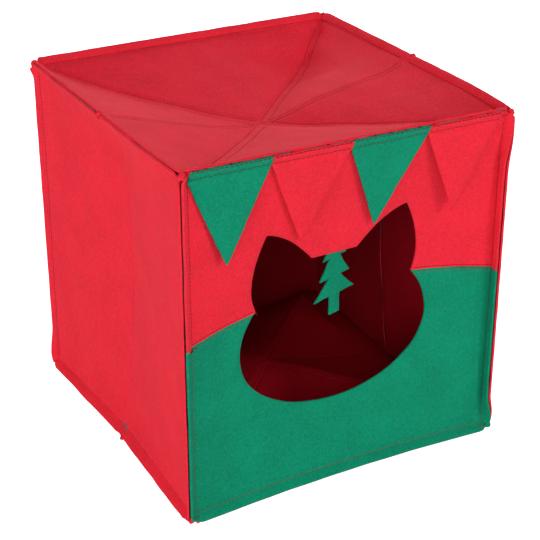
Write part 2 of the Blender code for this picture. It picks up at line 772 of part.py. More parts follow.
def loop_top_height():
    """Height of the thread loop's top, where it passes through the tab."""
    return knot_height() + KNOT_RADIUS + CLEARANCE + THREAD_RADIUS + 2 * LOOP_RADIUS


def toy_thread():
    """The loop of thread that runs through the tab, down to the knot above the tree."""
    middle = loop_top_height() - LOOP_RADIUS
    points = []
    for step in range(24):
        angle = 2 * math.pi * step / 24
        y = toy_plane_y() + LOOP_RADIUS * math.cos(angle)
        points.append((TOY_X, y, middle + LOOP_RADIUS * math.sin(angle)))
    tube("toy_thread_loop", points, THREAD_RADIUS, True, THREAD_RED, 0.9, 0.0, 1)


def toy_knot():
    """The knot that closes the thread loop."""
    shape = bmesh.new()
    bmesh.ops.create_uvsphere(shape, u_segments=12, v_segments=8, radius=KNOT_RADIUS)
    spot = Vector((TOY_X, toy_plane_y(), knot_height()))
    bmesh.ops.translate(shape, verts=shape.verts, vec=spot)
    mesh = bpy.data.meshes.new("toy_knot")
    shape.to_mesh(mesh)
    shape.free()
    add_object("toy_knot", mesh, THREAD_RED, smooth=True)


def tree_outline():
    """Half of the fir tree, from its top down to the foot of the trunk."""
    rise = TREE_TIER_SLOPE_RISE
    return [
        (TREE_TOP_HALF_WIDTH, TREE_TOP_HEIGHT),
        (TREE_UPPER_HALF_WIDTH, TREE_UPPER_HEIGHT),
        (TREE_WAIST_HALF, TREE_UPPER_HEIGHT + rise),
        (TREE_MIDDLE_HALF_WIDTH, TREE_MIDDLE_HEIGHT),
        (TREE_WAIST_HALF, TREE_MIDDLE_HEIGHT + rise),
        (TREE_LOWER_HALF_WIDTH, TREE_LOWER_HEIGHT),
        (TRUNK_HALF_WIDTH, TREE_LOWER_HEIGHT + rise),
        (TRUNK_HALF_WIDTH, TRUNK_BOTTOM_HEIGHT),
    ]


def toy_tree():
    """The felt fir tree, turned a little on its thread."""
    half = tree_outline()
    corners = half + [(-across, height) for across, height in reversed(half)]
    radii = [0, TREE_TIP_RADIUS, 0, TREE_TIP_RADIUS, 0, TREE_TIP_RADIUS, 0, 0]
    radii += radii[::-1]
    outline = rounded_outline(corners, radii, 2)
    across = Vector((math.cos(TOY_YAW), math.sin(TOY_YAW), 0))
    through = Vector((-math.sin(TOY_YAW), math.cos(TOY_YAW), 0))
    base = Vector((TOY_X, toy_plane_y(), 0)) - through * (TOY_FELT / 2)
    mesh = sheet_mesh("toy_tree", outline, base, across, Vector((0, 0, 1)), through, TOY_FELT)
    add_object("toy_tree", mesh, GREEN)


def main():
    """Build the bed, from the front frame to the toy."""
    clear_scene()
    front_panel("front_upper_panel", True, RED)
    front_panel("front_lower_panel", False, GREEN)
    rear_panel()
    for face in ("front", "rear"):
        neighbour_lips(face)
        frame_wire(face)
    for side in ("left", "right"):
        for face in ("front", "rear"):
            half_wall(side, face)
    for level in ("top", "floor"):
        for face in ("front", "rear"):
            flap(level, face)
            for side in ("left", "right"):
                gore(level, side, face)
    for number in range(PENNANT_COUNT):
        pennant(number)
    toy_tab()
    toy_thread()
    toy_knot()
    toy_tree()


main()
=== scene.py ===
"""Looks of the collapsible felt cat bed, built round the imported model.

Felt panels are cut from flat patterns and laid on the bowed and sagging surfaces of the bed. Their
edges turn outward at the seams, and stitches, tacks, wires, bunting and the toy are added to them.
"""

import math

import bmesh
import bpy
import numpy as np
from mathutils import Matrix, Vector
from mathutils.geometry import delaunay_2d_cdt


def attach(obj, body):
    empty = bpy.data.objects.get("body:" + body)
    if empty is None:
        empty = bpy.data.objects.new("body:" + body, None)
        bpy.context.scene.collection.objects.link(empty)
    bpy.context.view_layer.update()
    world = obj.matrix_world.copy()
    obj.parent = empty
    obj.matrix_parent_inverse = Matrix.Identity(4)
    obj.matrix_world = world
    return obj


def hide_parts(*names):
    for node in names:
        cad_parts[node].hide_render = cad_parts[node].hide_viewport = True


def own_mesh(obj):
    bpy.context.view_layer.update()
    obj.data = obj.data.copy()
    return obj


bl_info = {
    "name": "Felt cat bed",
    "version": (1, 0, 0),
    "blender": (4, 5, 0),
    "location": "View3D > Sidebar > Cat bed",
    "description": "Dresses the packed cat bed in felt, stitches, bunting and its hanging toy",
    "category": "Add Mesh",
}

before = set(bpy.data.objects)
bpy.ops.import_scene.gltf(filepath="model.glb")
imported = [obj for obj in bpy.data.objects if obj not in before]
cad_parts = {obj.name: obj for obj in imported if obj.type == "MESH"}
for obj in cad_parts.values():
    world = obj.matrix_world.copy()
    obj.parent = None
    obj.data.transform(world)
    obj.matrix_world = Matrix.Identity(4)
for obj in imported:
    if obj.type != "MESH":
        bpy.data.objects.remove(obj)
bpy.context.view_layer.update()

# Main planes of the bed, the inner faces of its panels
HALF = 0.180223
FLOOR_Z = 0.008977
TOP_Z = 0.378223
MID_Z = (FLOOR_Z + TOP_Z) / 2
HALF_Z = (TOP_Z - FLOOR_Z) / 2
SIDE_TURN = math.radians(57.5)
TOP_FRONT_TURN = math.radians(37.5)
TOP_OVER_FRONT_TURN = math.radians(77.5)
WIRE_LEAN = math.radians(45)
WIRE_FROM_ROOT = 0.0082
WIRE_RADIUS = 0.00125
BEND = 0.0036
PINCH = 0.0002
SEAM_CLOSE = 0.92
FRONT_SIDE_CLOSE = 0.70
CLOSE_FROM = 0.0074

# The front: its bow, its arched seam and the cat-head entrance
FRONT_DIP_POWER = 2.3
SEAM_SIDE_HEIGHT = 0.2049
SEAM_RISE = 0.0159
ENTRANCE_X = -0.0084
HEAD_HALF_WIDTH = 0.1118
HEAD_CENTRE_HEIGHT = 0.1683
CHIN_DROP = 0.0764
CROWN_RISE = 0.0869
NOTCH_HEIGHT = 0.2169
EAR_TIP = (0.0812, 0.2985)
EAR_OUTER_PULL = (0.1067, 0.2504)
EAR_INNER_PULL = (0.0566, 0.2938)
LINTEL_HALF_WIDTH = 0.0264
LINTEL_HEIGHT = 0.2590

# Splits of the top and the floor
BAND_HALF = 0.00685
FLAP_TIP_SETBACK = 0.018

# Creases pressed into the green front near its lower right corner
CREASES = (
    ((0.1235, 0.0801), (0.1400, 0.0640), (0.1560, 0.0425)),
    ((0.0896, 0.0642), (0.1030, 0.0480), (0.1150, 0.0290), (0.1191, 0.0230)),
    ((0.1660, 0.1950), (0.1662, 0.0600)),
    ((-0.1000, 0.0700), (-0.1280, 0.0420), (-0.1500, 0.0240)),
)

# Bunting
PENNANT_COUNT = 4
PENNANT_PITCH = 0.0881
PENNANT_DROP = 0.0940
PENNANT_FELT = 0.0020
PENNANT_TIP_SHIFTS = (-0.0073, -0.0081, -0.0117, -0.0122)
INNER_PENNANT_TILT = math.radians(8.0)
OUTER_PENNANT_TILT = math.radians(2.0)
PENNANT_GAP = 0.00015
BUNTING_SHIFT = -0.0043

# Fir-tree toy
TOY_X = -0.0017
TOY_PLANE_Y = -0.153858
TOY_YAW = math.radians(19)
LOOP_TOP = 0.2876
LOOP_RADIUS = 0.0050
KNOT_HEIGHT = 0.2747
TREE_TOP = 0.2724
TREE_TIERS = ((0.0181, 0.2483, 0.0080), (0.0232, 0.2262, 0.0092), (0.0309, 0.2055, 0.0074))
TRUNK_BOTTOM = 0.1839
TAB_FELT = 0.0018

# How the soft bed has settled: leaning seam edges, an arched front, walls drawn in at the floor
RIGHT_FRONT_LEAN = math.radians(50)
LEFT_REAR_LEAN = math.radians(38)
RIGHT_FRONT_FADE = 0.060
LEFT_REAR_FADE = 0.018
LEAN_FROM = -1.40
LEAN_TO = 2.97
LEAN_EASE = 1.15
LEAN_REACH = 0.034
LEAN_REACH_EASE = 0.016
FRONT_ARCH_UP = 0.0054
FRONT_ARCH_BACK = 0.0014
TOP_FRONT_TILT = (0.0018, -0.0030)
SIDE_DRAWN_IN = 0.0070

# Sewing: rows of stitches beside a seam, and where a pattern gets extra points round its bend
ROW_IN = 0.0022
LIP_ROW = 0.0018
SEAM_THREAD = 0.0011
SEAM_OVERRUN = 0.0015
BEND_OFFSETS = (-0.0036, -0.0018, -0.0009, 0.0, 0.0009, 0.0018, 0.0036)

# Seed, turn, closing and trim of the front's left, right, top and floor edges
FRONT_LIP_FORMS = (
    (40, SIDE_TURN, FRONT_SIDE_CLOSE, 0.0),
    (41, SIDE_TURN, FRONT_SIDE_CLOSE, 0.0),
    (34, TOP_OVER_FRONT_TURN, 2.1, 0.0),
    (36, SIDE_TURN, 1.0, 0.0022),
)

# Back stitches over the arched seam's left end, from the bed's edge and the seam's height
SEAM_END = ((-0.006, 0.001), (-0.0035, -0.0050), (-0.001, -0.0015), (0.0015, -0.0062),
            (0.004, -0.0022), (0.009, -0.0040))

# Surface of the felt, and the lowest that threads and nubs may lie
NAP_DEPTH = 0.00034
LEAST_HEIGHT = 0.0002

# Studio
LAMPS = (
    ("key_lamp", (-1.9, -2.6, 1.3), 1.6, 36.0),
    ("front_lamp", (1.7, -2.6, 1.5), 0.8, 36.0),
    ("left_lamp", (-2.6, -0.8, 0.06), 1.2, 38.0),
    ("rear_lamp", (0.8, 2.7, 1.6), 1.4, 46.0),
)
LAMP_AIM = (0, 0, 0.17)
FLOOR_GLOW = 0.88
WORLD_LIGHT = 0.416
CAMERA_LENS = 98.091
CAMERA_ANGLES = (29.0666, -26.6563, 0.0245)
CAMERA_SPOT = (-0.70878, -1.29113, 0.90429)

# Sides, ends and levels of the bed
X = np.array((1.0, 0.0, 0.0))
Y = np.array((0.0, 1.0, 0.0))
Z = np.array((0.0, 0.0, 1.0))
SIDES = ((-1, "left"), (1, "right"))
ENDS = ((-1, "front"), (1, "rear"))
LEVELS = ((1, TOP_Z), (-1, FLOOR_Z))

# How many of a felt piece's first faces are its inner side, which is painted darker as shade
INNER_FACES = {}


class BedSizes(bpy.types.PropertyGroup):
    """Sizes of the felt, its bows and its stitches."""

    felt: bpy.props.FloatProperty(
        name="Felt", description="Thickness of the felt panels", default=0.0025, unit="LENGTH")
    lip: bpy.props.FloatProperty(
        name="Seam edge", description="Width of the turned-out edges", default=0.0108, unit="LENGTH")
    front_dip: bpy.props.FloatProperty(
        name="Front bow", description="How far the front bows in", default=0.021, unit="LENGTH")
    rear_dip: bpy.props.FloatProperty(
        name="Rear bow", description="How far the rear bows in", default=0.006, unit="LENGTH")
    wall_bow: bpy.props.FloatProperty(
        name="Wall bow", description="How far the side walls crease in", default=0.0251, unit="LENGTH")
    stitch: bpy.props.FloatProperty(
        name="Stitch", description="Length of one stitch", default=0.0029, unit="LENGTH")
    stitch_gap: bpy.props.FloatProperty(
        name="Stitch gap", description="Felt between two stitches", default=0.0014, unit="LENGTH")
    thread: bpy.props.FloatProperty(
        name="Thread", description="Radius of the sewing thread", default=0.00042, unit="LENGTH")


class BedColours(bpy.types.PropertyGroup):
    """Colours of the felt, the threads and the wire."""

    red: bpy.props.FloatVectorProperty(
        name="Red felt", description="Main colour", subtype="COLOR", size=4,
        default=(0.830, 0.019, 0.040, 1.0))
    green: bpy.props.FloatVectorProperty(
        name="Green felt", description="Lower front, two pennants and the toy", subtype="COLOR",
        size=4, default=(0.001, 0.262, 0.140, 1.0))
    red_thread: bpy.props.FloatVectorProperty(
        name="Red thread", description="Seam thread", subtype="COLOR", size=4,
        default=(0.190, 0.003, 0.009, 1.0))
    dark_thread: bpy.props.FloatVectorProperty(
        name="Dark thread", description="Thread of the bunting", subtype="COLOR", size=4,
        default=(0.075, 0.006, 0.005, 1.0))
    wire: bpy.props.FloatVectorProperty(
        name="Wire coat", description="Coating of the spring wire", subtype="COLOR", size=4,
        default=(0.010, 0.010, 0.011, 1.0))
    paper: bpy.props.FloatVectorProperty(
        name="Floor", description="Floor of the studio", subtype="COLOR", size=4,
        default=(0.86, 0.86, 0.86, 1.0))


def quarters():
    """Side, end and name of the bed's four quarters."""
    for side, side_name in SIDES:
        for end, end_name in ENDS:
            yield side, end, side_name + "_" + end_name


def sizes():
    """The sizes that the panel shows."""
    return bpy.context.scene.bed_sizes


def colours():
    """The colours that the panel shows."""
    return bpy.context.scene.bed_colours


class Ripple:
    """Smooth unevenness that comes out the same each run."""

    def __init__(self, seed):
        draw = np.random.RandomState(seed)
        waves = 7
        ways = draw.normal(size=(waves, 3))
        self.ways = ways / np.linalg.norm(ways, axis=1)[:, None]
        self.starts = draw.uniform(0, 2 * math.pi, waves)
        self.pace = draw.uniform(0.6, 1.6, waves)

    def at(self, points, wavelength):
        """About -1 to 1 at each point."""
        turns = points @ self.ways.T * (2 * math.pi / wavelength) * self.pace + self.starts
        return np.sin(turns).sum(axis=1) / math.sqrt(len(self.starts))


def smooth_table(knots, values):
    """A table of values made smooth, ready for np.interp."""
    dense = np.linspace(knots[0], knots[-1], 201)
    curve = np.interp(dense, knots, values)
    for _ in range(3):
        padded = np.concatenate([[2 * curve[0] - curve[i] for i in range(6, 0, -1)], curve,
                                 [2 * curve[-1] - curve[-1 - i] for i in range(1, 7)]])
        curve = np.convolve(padded, np.ones(13) / 13, mode="valid")
    return dense, curve


def millimetres(*values):
    """The same lengths in metres."""
    return [value / 1000 for value in values]


LEFT_RIDGE = smooth_table((0, 0.10, 0.29, 0.52, 0.74, 0.90, 1),
                          millimetres(42.0, 41.0, 35.6, 24.0, 12.4, 4.0, 0))
RIGHT_RIDGE = smooth_table((0, 0.10, 0.25, 0.40, 0.60, 0.81, 0.90, 1),
                           millimetres(42.0, 37.5, 30.5, 23.5, 16.5, 11.5, 7.5, 0))
MIDDLE_RIDGE = smooth_table((0, 0.20, 0.40, 0.60, 0.80, 1), millimetres(42.0, 36.5, 28.5, 19.5, 10.0, 0))
VALLEY = smooth_table((0, 0.20, 0.36, 0.50, 0.60, 0.70, 0.84, 0.92, 1),
                      millimetres(42.0, 39.2, 33.5, 30.0, 26.0, 21.5, 14.0, 7.5, 0))
DEEP_VALLEY = smooth_table((0, 0.22, 0.38, 0.58, 0.74, 0.81, 0.95, 1),
                           millimetres(42.0, 43.3, 41.8, 38.8, 33.0, 20.0, 10.5, 0))


def sag(x, y):
    """How far the top or the floor has drawn in at a place: valleys on the diagonals."""
    across = np.abs(x) / HALF
    back = np.abs(y) / HALF
    share = np.clip(np.maximum(across, back), 0, 1)
    lean = np.minimum(across, back) / np.maximum(share, 1e-6)
    lean = np.where(across > back, lean ** 1.15, lean ** 1.7)
    side_ridge = np.where(x < 0, np.interp(share, *LEFT_RIDGE), np.interp(share, *RIGHT_RIDGE))
    ridge = np.where(across > back, side_ridge, np.interp(share, *MIDDLE_RIDGE))
    valley = np.interp(share, *VALLEY)
    deep = np.interp(share, *DEEP_VALLEY)
    rear_right = np.clip(x / HALF, 0, 1) * np.clip(y / HALF, 0, 1) * 4
    valley = valley + (deep - valley) * np.clip(rear_right, 0, 1)
    return ridge + (valley - ridge) * lean


def bowed(x, z, depth, power):
    """How far a panel that is deepest in its middle bows in."""
    across = np.maximum(0, 1 - np.abs(x / HALF) ** power)
    up = np.maximum(0, 1 - ((z - MID_Z) / HALF_Z) ** 2)
    return depth * across * up


def front_dip(x, z):
    """How far the front bows into the bed."""
    return bowed(x, z, sizes().front_dip, FRONT_DIP_POWER)


def rear_dip(x, z):
    """How far the rear bows into the bed."""
    return bowed(x, z, sizes().rear_dip, 2)


def wall_bow(y, z):
    """How far a side wall creases in towards its midline."""
    level = np.clip((z - MID_Z) / HALF_Z, -1, 1)
    power = np.where(level > 0, 6.5, 2.4)
    upright = 1 - np.abs(level) ** power
    upright = upright * (1 - 0.06 * np.clip(-level / 0.35, 0, 1))
    return sizes().wall_bow * upright * np.clip(1 - np.abs(y) / HALF, 0, 1) ** 1.12


def bend(beyond, turn, close=SEAM_CLOSE):
    """How a felt edge runs on past its seam, ahead and aside, its tip closing over the wire."""
    curl = turn / BEND
    within = np.clip(beyond + BEND / 2, 0, BEND)
    past = np.maximum(beyond - BEND / 2, 0)
    ahead = np.minimum(beyond, -BEND / 2) + np.sin(curl * within) / curl + past * math.cos(turn)
    aside = (1 - np.cos(curl * within)) / curl + past * math.sin(turn)
    near = np.exp(-(beyond / 0.004) ** 2) * PINCH
    lip = sizes().lip
    share = np.clip((beyond - CLOSE_FROM) / (lip - CLOSE_FROM), 0, 1)
    over = close * share * share * (3 - 2 * share) * (lip * math.tan(math.radians(12.5)) - 0.0002)
    return ahead + near + over * math.sin(turn), aside - near - over * math.cos(turn)


def upright_bend(z, top_turn, top_close=SEAM_CLOSE):
    """Height and outward run of a panel whose top and bottom edges turn outward."""
    ahead_top, aside_top = bend(z - TOP_Z, top_turn, top_close)
    ahead_low, aside_low = bend(FLOOR_Z - z, SIDE_TURN)
    over = z > MID_Z
    height = np.where(over, TOP_Z + ahead_top, FLOOR_Z - ahead_low)
    return height, np.where(over, aside_top, aside_low)


def front_place(u, v):
    """The front's inner face: u across, v up."""
    ahead, aside = bend(np.abs(u) - HALF, SIDE_TURN, FRONT_SIDE_CLOSE)
    height, forward = upright_bend(v, TOP_FRONT_TURN, 1.0)
    y = -(HALF + aside + forward - front_dip(u, v))
    return np.stack([np.sign(u) * (HALF + ahead), y, height], axis=1)


def overlapping_place(u, v):
    """The red front, which laps over the green at the arched seam."""
    points = front_place(u, v)
    near = np.clip(1 - (v - seam_height(u)) / 0.012, 0, 1)
    points[:, 1] -= 0.0008 * near * near * (3 - 2 * near)
    return points


def rear_place(u, v):
    """The rear's inner face: u across, v up."""
    ahead, aside = bend(np.abs(u) - HALF, SIDE_TURN)
    height, backward = upright_bend(v, SIDE_TURN)
    y = HALF + aside + backward - rear_dip(u, v)
    return np.stack([np.sign(u) * (HALF + ahead), y, height], axis=1)


def wall_place(side):
    """A side wall's inner face: u from front to back, v up."""
    def place(u, v):
        height, outward = upright_bend(v, SIDE_TURN)
        return np.stack([side * (HALF + outward - wall_bow(u, v)), u, height], axis=1)
    return place


def level_place(top):
    """The inner face of the top or the floor: u across, v from front to back."""
    def place(u, v):
        drop = sag(u, v)
        height = TOP_Z - drop if top else FLOOR_Z + drop
        return np.stack([u, v, height], axis=1)
    return place


def lip_place(root, along, ahead, aside, turn, close):
    """A neighbour's turned-out edge: u along the seam, v outward from it."""
    def place(u, v):
        forward, sideways = bend(v, turn, close)
        return (np.array(root) + u[:, None] * along + forward[:, None] * ahead
                + sideways[:, None] * aside)
    return place


class Felt:
    """A surface that felt lies on: a pattern point's place, and the way its outside faces."""

    def __init__(self, place, facing, probe, thickness=None, ripple=None, rows=()):
        self.place = place
        self.thickness = sizes().felt if thickness is None else thickness
        self.ripple = ripple
        self.grooves = []
        self.side = 1.0
        normal = self.normals(np.array([probe]))[0]
        self.side = 1.0 if normal @ np.array(facing) > 0 else -1.0
        for path in rows:
            self.groove(path)

    def normals(self, pattern):
        """Outward directions at the pattern's points."""
        step = 0.0003
        u, v = pattern[:, 0], pattern[:, 1]
        across = self.place(u + step, v) - self.place(u - step, v)
        up = self.place(u, v + step) - self.place(u, v - step)
        out = np.cross(across, up)
        return self.side * out / np.linalg.norm(out, axis=1)[:, None]

    def groove(self, path, depth=0.00050, width=0.00085):
        """Press the outside in along a path, as a row of stitches does."""
        self.grooves.append((resample_line(np.array(path, float), 0.012), depth, width))

    def pressed(self, pattern):
        """How far the grooves press the outside in at the pattern's points."""
        push = np.zeros(len(pattern))
        for path, depth, width in self.grooves:
            gap = distance_to_line(pattern, path)
            push = np.maximum(push, depth * np.exp(-(gap / width) ** 2))
        return push[:, None]

    def groove_points(self):
        """Extra pattern points along the grooves, close enough together to show them."""
        points = []
        for path, _, width in self.grooves:
            fine = resample_line(path, 0.0030)
            ways = np.gradient(fine, axis=0)
            ways /= np.linalg.norm(ways, axis=1)[:, None]
            across = np.stack([-ways[:, 1], ways[:, 0]], axis=1)
            for offset in (-2.1, -1.0, 0.0, 1.0, 2.1):
                points.append(fine + across * offset * width)
        return [tuple(point) for point in np.concatenate(points)] if points else []

    def points(self, pattern, depth):
        """Places at a depth above the inner face."""
        base = self.place(pattern[:, 0], pattern[:, 1])
        out = self.normals(pattern)
        if self.grooves and depth != 0:
            depth = depth - self.pressed(pattern) * (depth / self.thickness)
        if self.ripple is not None:
            waves, height, wavelength = self.ripple
            depth = depth + height * waves.at(base, wavelength)[:, None]
        return base + out * depth


def area_of(ring):
    """Signed area of a ring of points."""
    after = np.roll(ring, -1, axis=0)
    return 0.5 * np.sum(ring[:, 0] * after[:, 1] - ring[:, 1] * after[:, 0])


def resample(ring, pitch):
    """A ring with no step longer than pitch, its corners kept."""
    points = []
    for here, after in zip(ring, np.roll(ring, -1, axis=0)):
        steps = int(math.ceil(np.linalg.norm(after - here) / pitch - 1e-6))
        for step in range(steps):
            points.append(here + (after - here) * step / steps)
    return np.array(points)


def edge_outs(ring):
    """Outward direction at each point of an anticlockwise ring, longer at corners."""
    before = ring - np.roll(ring, 1, axis=0)
    after = np.roll(ring, -1, axis=0) - ring
    first = np.stack([before[:, 1], -before[:, 0]], axis=1)
    second = np.stack([after[:, 1], -after[:, 0]], axis=1)
    first /= np.linalg.norm(first, axis=1)[:, None]
    second /= np.linalg.norm(second, axis=1)[:, None]
    middle = first + second
    length = np.maximum(np.linalg.norm(middle, axis=1), 0.6)
    return middle * (2 / length ** 2)[:, None]


def inside(points, ring):
    """Which points lie inside a ring."""
    result = np.zeros(len(points), bool)
    for here, after in zip(ring, np.roll(ring, -1, axis=0)):
        crosses = (here[1] > points[:, 1]) != (after[1] > points[:, 1])
        rise = after[1] - here[1]
        if abs(rise) < 1e-12:
            continue
        at = here[0] + (points[:, 1] - here[1]) * (after[0] - here[0]) / rise
        result ^= crosses & (points[:, 0] < at)
    return result


def distance_to(points, ring):
    """Distance from each point to a ring's nearest point."""
    nearest = np.full(len(points), 1e9)
    for spot in ring:
        gap = np.abs(points - spot)
        close = (gap[:, 0] < 0.02) & (gap[:, 1] < 0.02)
        nearest[close] = np.minimum(nearest[close], np.hypot(gap[close, 0], gap[close, 1]))
    return nearest


def distance_to_line(points, path):
    """Distance from each point to an open path."""
    nearest = np.full(len(points), 1e9)
    for here, after in zip(path[:-1], path[1:]):
        way = after - here
        share = np.clip((points - here) @ way / (way @ way), 0, 1)
        nearest = np.minimum(nearest, np.linalg.norm(points - here - share[:, None] * way, axis=1))
    return nearest


def fill_points(ring, pitch):
    """A staggered grid of points inside a ring, clear of its edge."""
    low, high = ring.min(axis=0), ring.max(axis=0)
    rows = np.arange(low[1], high[1], pitch * 0.866)
    points = []
    for number, height in enumerate(rows):
        shift = pitch / 2 if number % 2 else 0
        line = np.arange(low[0] + shift, high[0], pitch)
        points.append(np.stack([line, np.full(len(line), height)], axis=1))
    points = np.concatenate(points)
    points = points[inside(points, ring)]
    return points[distance_to(points, ring) > 0.55 * pitch]


def ease(values):
    """Nought to one, soft at both ends."""
    values = np.clip(values, 0, 1)
    return values * values * (3 - 2 * values)


def swung(points, side, end, most, fade):
    """Turn the upright seam edges at one corner of the bed towards its front or its rear."""
    across = side * points[:, 0] - HALF
    along = end * points[:, 1] - HALF
    reach = np.hypot(across, along)
    angle = np.arctan2(along, across)
    share = ease((angle - LEAN_FROM) / LEAN_EASE) * ease((LEAN_TO - angle) / LEAN_EASE)
    share = share * ease((LEAN_REACH - reach) / LEAN_REACH_EASE)
    share = share * ease((points[:, 2] - FLOOR_Z + 0.002) / 0.045)
    share = share * ease((TOP_Z + 0.002 - points[:, 2]) / fade)
    angle = angle + most * share
    moved = points.copy()
    moved[:, 0] = np.where(share > 0, side * (HALF + reach * np.cos(angle)), points[:, 0])
    moved[:, 1] = np.where(share > 0, end * (HALF + reach * np.sin(angle)), points[:, 1])
    return moved


def settled(points):
    """Points moved as the soft bed has settled: its lower edges drawn in, its seam edges leaning."""
    points = np.array(points, float)
    points = swung(points, 1, -1, RIGHT_FRONT_LEAN, RIGHT_FRONT_FADE)
    points = swung(points, -1, 1, LEFT_REAR_LEAN, LEFT_REAR_FADE)
    x, y, z = points.T.copy()
    front = ease((0.075 - HALF - y) / 0.07)
    arch = np.clip(1 - (x / HALF) ** 2, 0, 1) * front * ease((FLOOR_Z + 0.075 - z) / 0.07)
    points[:, 2] += FRONT_ARCH_UP * arch
    points[:, 1] += FRONT_ARCH_BACK * arch
    tilt = np.interp(x, (-HALF, HALF), TOP_FRONT_TILT)
    points[:, 2] += tilt * front * ease((z - TOP_Z + 0.08) / 0.075)
    side = ease((np.abs(x) - HALF + 0.07) / 0.06) * ease((FLOOR_Z + 0.09 - z) / 0.085)
    points[:, 0] -= np.sign(x) * SIDE_DRAWN_IN * side * np.clip(1 - np.abs(y) / HALF, 0, 1)
    return points


def mesh_piece(name, points, faces, angle=50):
    """A new piece from points and faces, with its faces turned outward."""
    points = settled(points)
    mesh = bpy.data.meshes.new(name)
    mesh.from_pydata([tuple(point) for point in points], [], faces)
    shape = bmesh.new()
    shape.from_mesh(mesh)
    bmesh.ops.recalc_face_normals(shape, faces=shape.faces)
    shape.to_mesh(mesh)
    shape.free()
    mesh.shade_smooth()
    mesh.set_sharp_from_angle(angle=math.radians(angle))
    piece = bpy.data.objects.new(name, mesh)
    bpy.context.scene.collection.objects.link(piece)
    return piece


def cut_felt(name, felt, outline, pitch=0.0055, edge_pitch=0.0030, rounding=0.00045,
             wave=None, extra=()):
    """Cut a piece of felt to an outline and lay it on its surface, with softly rounded cut edges."""
    ring = resample(np.array(outline, float), edge_pitch)
    if area_of(ring) < 0:
        ring = ring[::-1]
    if wave is not None:
        waves, height, wavelength = wave
        flat = np.concatenate([ring, np.zeros((len(ring), 1))], axis=1)
        push = height * waves.at(flat, wavelength)
        ring = ring + edge_outs(ring) * push[:, None]
    inner = ring - edge_outs(ring) * rounding
    fill = fill_points(inner, pitch)
    extra = list(extra) + felt.groove_points()
    if extra:
        kept = np.array(extra)
        kept = kept[inside(kept, inner)]
        kept = kept[distance_to(kept, inner) > 0.0012]
        apart = np.array([np.min(np.hypot(*(kept - spot).T)) if len(kept) else 1 for spot in fill])
        fill = np.concatenate([fill[apart > 0.4 * pitch], kept])
    flat = np.concatenate([inner, fill])
    count = len(ring)
    edges = [(index, (index + 1) % count) for index in range(count)]
    found = delaunay_2d_cdt([Vector(point) for point in flat], edges, [], 1, 1e-7)
    pattern = np.array([tuple(point) for point in found[0]])
    place_of = {}
    for index, sources in enumerate(found[3]):
        for source in sources:
            place_of[source] = index
    rim = [place_of[index] for index in range(count)]
    total = len(pattern)
    thick = felt.thickness
    points = np.concatenate([
        felt.points(pattern, 0.0),
        felt.points(pattern, thick),
        felt.points(ring, rounding),
        felt.points(ring, thick - rounding),
    ])
    points[:, 2] = np.maximum(points[:, 2], LEAST_HEIGHT / 2)
    faces = [tuple(face) for face in found[2]]
    faces += [tuple(index + total for index in face[::-1]) for face in found[2]]
    low, high = 2 * total, 2 * total + count
    for index in range(count):
        after = (index + 1) % count
        faces.append((rim[index], rim[after], low + after, low + index))
        faces.append((low + index, low + after, high + after, high + index))
        faces.append((high + index, high + after, total + rim[after], total + rim[index]))
    INNER_FACES[name] = len(found[2])
    return mesh_piece(name, points, faces)


def ring_faces(rings, sides, closed=False):
    """The faces between neighbouring rings of points."""
    faces = []
    for ring in range(rings if closed else rings - 1):
        here, there = ring * sides, (ring + 1) % rings * sides
        for step in range(sides):
            after = (step + 1) % sides
            faces.append((here + step, here + after, there + after, there + step))
    return faces


def capsule():
    """One stitch lying along x, its ends dipping in."""
    rings = [(-0.86, 0.62), (-0.35, 1.0), (0.35, 1.0), (0.86, 0.62)]
    sides = 6
    points = [(-1.0, 0.0, 0.0)]
    for along, radius in rings:
        for side in range(sides):
            angle = 2 * math.pi * side / sides
            points.append((along, radius * math.cos(angle), radius * math.sin(angle)))
    points.append((1.0, 0.0, 0.0))
    faces = [(0, 1 + (side + 1) % sides, 1 + side) for side in range(sides)]
    faces += [tuple(1 + index for index in face) for face in ring_faces(len(rings), sides)]
    last = len(points) - 1
    base = last - sides
    faces += [(last, base + side, base + (side + 1) % sides) for side in range(sides)]
    return np.array(points), faces


CAPSULE_POINTS, CAPSULE_FACES = capsule()


